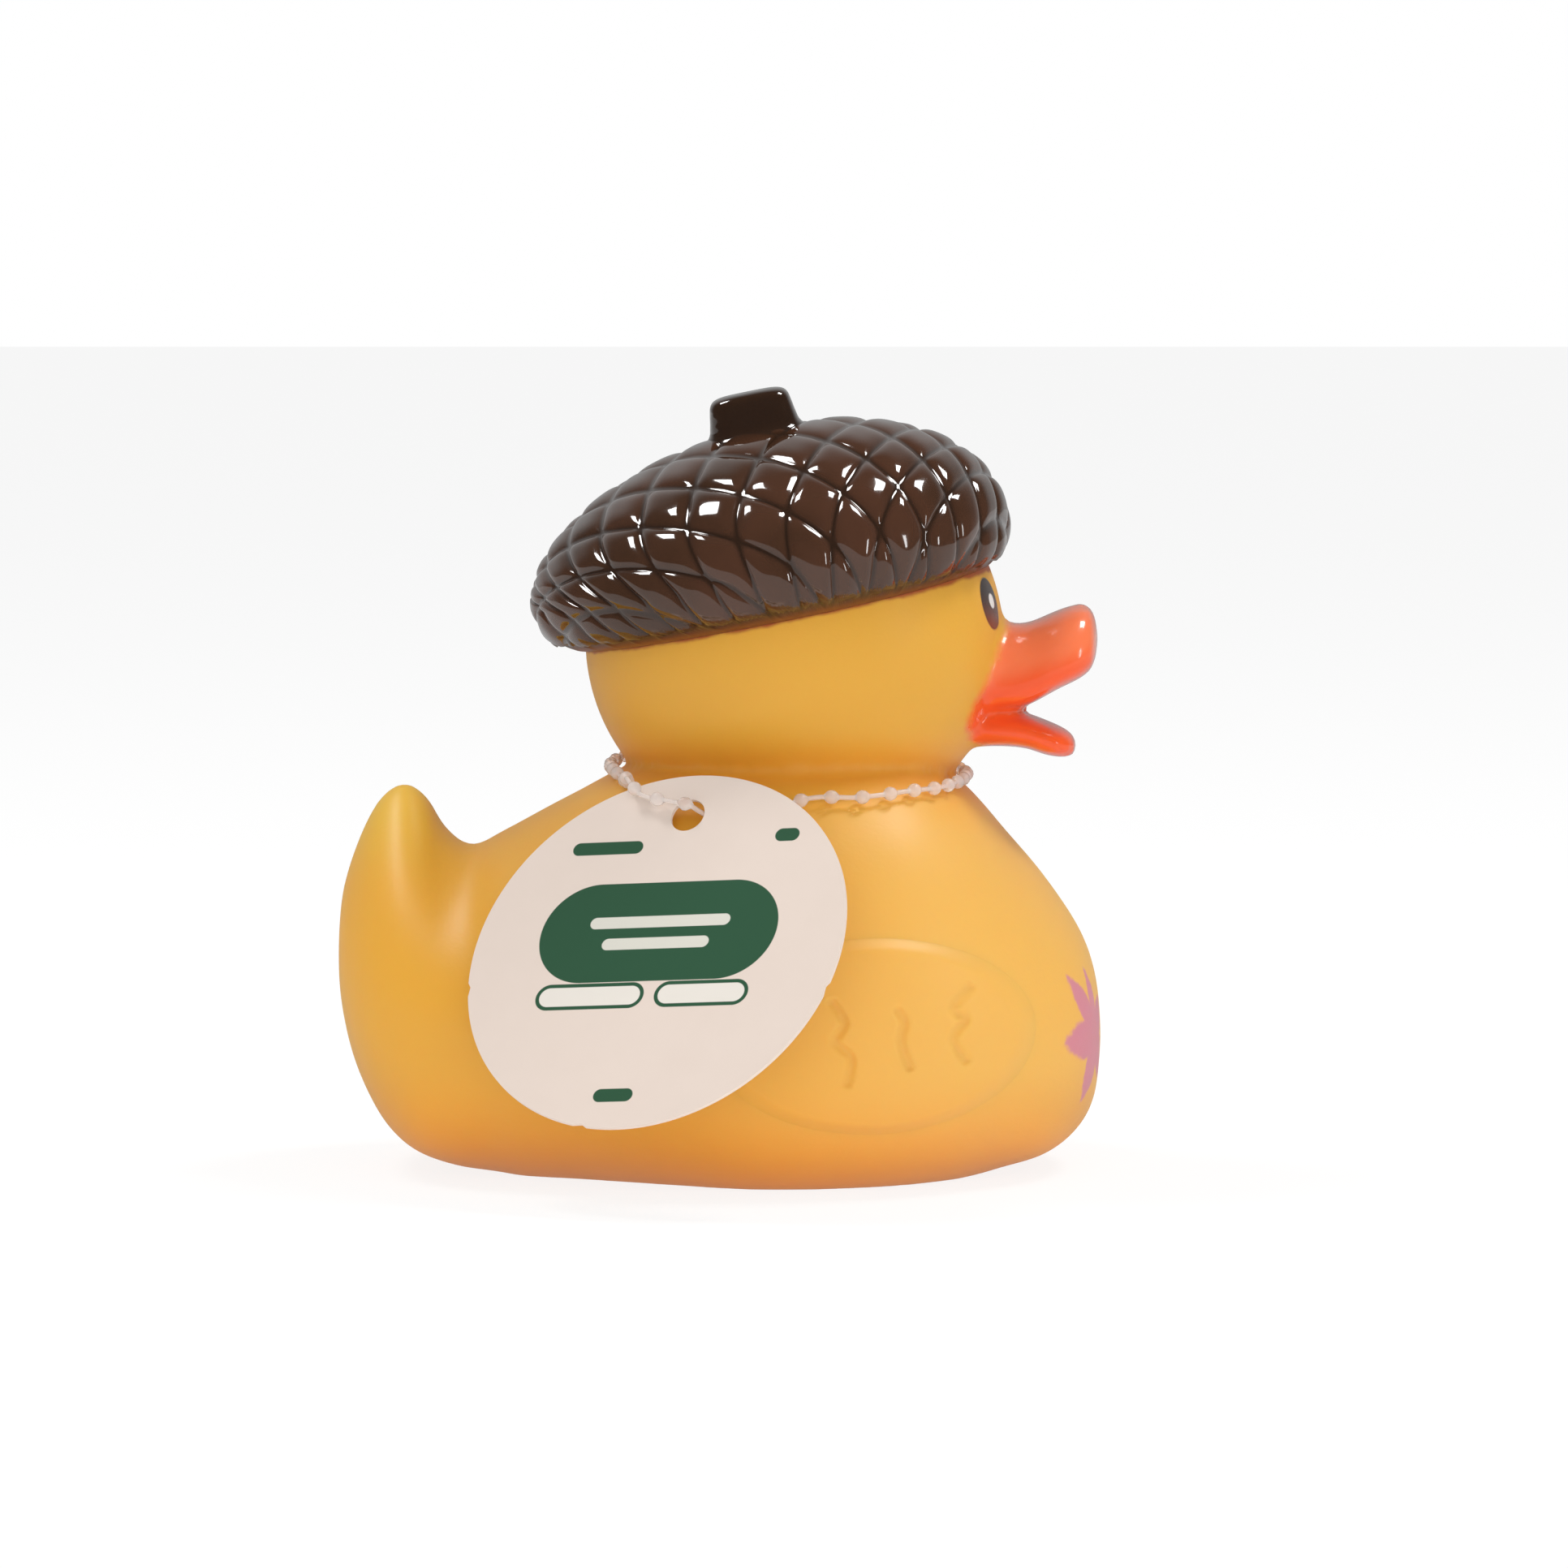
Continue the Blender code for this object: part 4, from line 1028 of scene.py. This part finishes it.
def evenly(path, runs, count):
    """The same closed path with evenly spaced points."""
    path, even, k = path + path[:1], [], 0
    for i in range(count):
        want = runs[-1] * i / count
        while runs[k + 1] < want:
            k += 1
        even.append(path[k].lerp(path[k + 1], (want - runs[k]) / (runs[k + 1] - runs[k])))
    return even


# %% Loop shape
RINGS_PER_BEAD, STRAND_SIDES, BEAD_STRETCH = 20, 14, 0.53


def bead_loop():
    """A tube along the route that swells to a bead at even steps."""
    mat, _, _ = new_material(
        "frosted_plastic", (0.95, 0.88, 0.84), 0.22, transmission_weight=0.6, ior=1.35)
    path = smooth_path(loop_route(), 16, closed=True)
    runs = lengths_to(path)
    beads = round(runs[-1] / PITCH)
    rings = beads * RINGS_PER_BEAD
    even = evenly(path, runs, rings)
    def place(u, v):
        i = round(v * rings) % rings
        ahead = (even[(i + 1) % rings] - even[i - 1]).normalized()
        out = ahead.cross(Vector((0, 0, 1))).normalized()
        over = out.cross(ahead)
        away = abs(i % RINGS_PER_BEAD - RINGS_PER_BEAD / 2) / RINGS_PER_BEAD * runs[-1] / beads
        swell = sqrt(max(0.0, 1 - (away / (BEAD * BEAD_STRETCH)) ** 2))
        radius = max(STRAND / 2, BEAD / 2 * swell)
        return even[i] + (out * cos(2 * pi * u) + over * sin(2 * pi * u)) * radius
    loop = finish(wrap_grid(STRAND_SIDES, rings, place), "bead_loop", "clear_plastic", mat)
    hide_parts("tag_loop")
    print("loop", round(runs[-1] / MM, 1), "mm long,", beads, "beads")


bead_loop()

# %% [markdown]
# ## The squeaker
#
# A stepped plastic plug with a thin metal reed in it closes the hole in the base. The CAD pieces
# already have the right shape, and little of them is seen, so nothing is modelled again. They
# only need plastic and metal.

# %% Squeaker looks
plug_mat, _, _ = new_material("white_plastic", (0.80, 0.79, 0.75), 0.4)
reed_mat, _, _ = new_material("reed_metal", (0.75, 0.62, 0.38), 0.3, metallic=1.0)
for node, mat in (("squeaker_plug", plug_mat), ("squeaker_reed", reed_mat)):
    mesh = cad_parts[node].data
    mesh.materials.clear()
    mesh.materials.append(mat)
    print(node, "is", mat.name)

# %% [markdown]
# ## Studio
#
# The photo is a product shot on white with soft light from both sides. A white room would light
# the duck the same way but turn the glossy cap grey, since a gloss mirrors whatever is round it.
# So the camera sees a white floor and background, while the gloss sees a darker room with a pale
# floor. The lamps are small enough to show as crisp highlights, apart from the wide one in front,
# which only fills in the shadows.

# %% Floor and background
FLOOR_GLOW, FLOOR_SEEN, FLOOR_MIRRORED = 0.25, 0.8, 0.45
ROOM, MIRRORED_FRONT, MIRRORED_BACK = (0.45, 0.45, 0.45, 1), (0.05, 0.05, 0.05, 1), (0.32, 0.32, 0.32, 1)
WHITE = (1, 1, 1, 1)


def floor():
    """A pale floor that adds white of its own for the camera, the gloss and what is seen through."""
    bm = bmesh.new()
    bmesh.ops.create_grid(bm, x_segments=1, y_segments=1, size=3.0)
    mat, tree, shader = new_material("floor", (0.85, 0.85, 0.85), 0.8, emission_strength=FLOOR_GLOW)
    shader.inputs["Emission Color"].default_value = WHITE
    rays = tree.nodes.new("ShaderNodeLightPath").outputs
    seen = times(tree, rays["Is Camera Ray"], FLOOR_SEEN)
    for ray in ("Is Glossy Ray", "Is Transmission Ray"):
        seen = calc(tree, "MAXIMUM", seen, rays[ray])
    mix = tree.nodes.new("ShaderNodeMixShader")
    white = tree.nodes.new("ShaderNodeEmission")
    strength = remap(tree, rays["Is Glossy Ray"], 0.0, 1.0, 1.0, FLOOR_MIRRORED, smooth=False)
    tree.links.new(strength, white.inputs["Strength"])
    tree.links.new(seen, mix.inputs["Fac"])
    tree.links.new(shader.outputs["BSDF"], mix.inputs[1])
    tree.links.new(white.outputs["Emission"], mix.inputs[2])
    tree.links.new(mix.outputs["Shader"], tree.nodes["Material Output"].inputs["Surface"])
    finish(bm, "floor", None, mat)


def background():
    """White for the camera, grey as a light, and for the gloss dark in front and paler behind."""
    world = bpy.data.worlds.new("studio")
    bpy.context.scene.world = world
    world.use_nodes = True
    tree = world.node_tree
    rays = tree.nodes.new("ShaderNodeLightPath").outputs
    direction = split(tree, tree.nodes.new("ShaderNodeTexCoord").outputs["Generated"])
    mirrored = paint(tree, MIRRORED_FRONT, MIRRORED_BACK, remap(tree, direction["Y"], 0.35, 0.9))
    sky = paint(tree, ROOM, mirrored, rays["Is Glossy Ray"])
    seen = calc(tree, "MAXIMUM", rays["Is Camera Ray"], rays["Is Transmission Ray"])
    tree.links.new(paint(tree, sky, WHITE, seen), tree.nodes["Background"].inputs["Color"])


# %% Lamps
MIDDLE = (0.0, 0.0, 0.05)
LAMPS = [
    ("left", (-0.44, 0.15, 0.87), (0.26, 0.26), 3.0, True),
    ("right", (0.45, 0.12, 0.86), (0.26, 0.26), 3.4, True),
    ("side", (1.03, -0.55, 0.28), (0.12, 0.3), 0.9, True),
    ("front", (0.1, -1.2, 0.4), (1.2, 0.8), 5.2, False)]


def lamp(name, place, size, power, reflected):
    """A soft lamp that points at the duck's middle."""
    data = bpy.data.lights.new(name, "AREA")
    data.shape = "RECTANGLE"
    data.size, data.size_y = size
    data.energy = power
    obj = bpy.data.objects.new(name, data)
    obj.location = place
    obj.rotation_euler = (Vector(MIDDLE) - Vector(place)).to_track_quat("-Z", "Y").to_euler()
    obj.visible_glossy = reflected
    bpy.context.scene.collection.objects.link(obj)


floor()
background()
for row in LAMPS:
    lamp(*row)
print(len(LAMPS), "lamps,", round(sum(row[3] for row in LAMPS), 1), "W in all")

# %% Camera
CAMERA_TILT, CAMERA_AWAY, SENSOR = radians(4.5), 1.2, 36.0
LOOKED_AT, SEEN_WIDTH = Vector((6.6, 0, 47.2)) * MM, 193.2 * MM


def camera():
    """A long lens from the duck's right side, slightly above."""
    data = bpy.data.cameras.new("camera")
    data.sensor_width = SENSOR
    data.lens = SENSOR * CAMERA_AWAY / SEEN_WIDTH
    data.clip_start, data.clip_end = 0.05, 20
    obj = bpy.data.objects.new("camera", data)
    away = Vector((0, -cos(CAMERA_TILT), sin(CAMERA_TILT)))
    obj.location = LOOKED_AT + away * CAMERA_AWAY
    obj.rotation_euler = (-away).to_track_quat("-Z", "Y").to_euler()
    bpy.context.scene.collection.objects.link(obj)
    bpy.context.scene.camera = obj
    print("lens", round(data.lens, 1), "mm")


camera()
bpy.context.scene.view_settings.view_transform = "Standard"
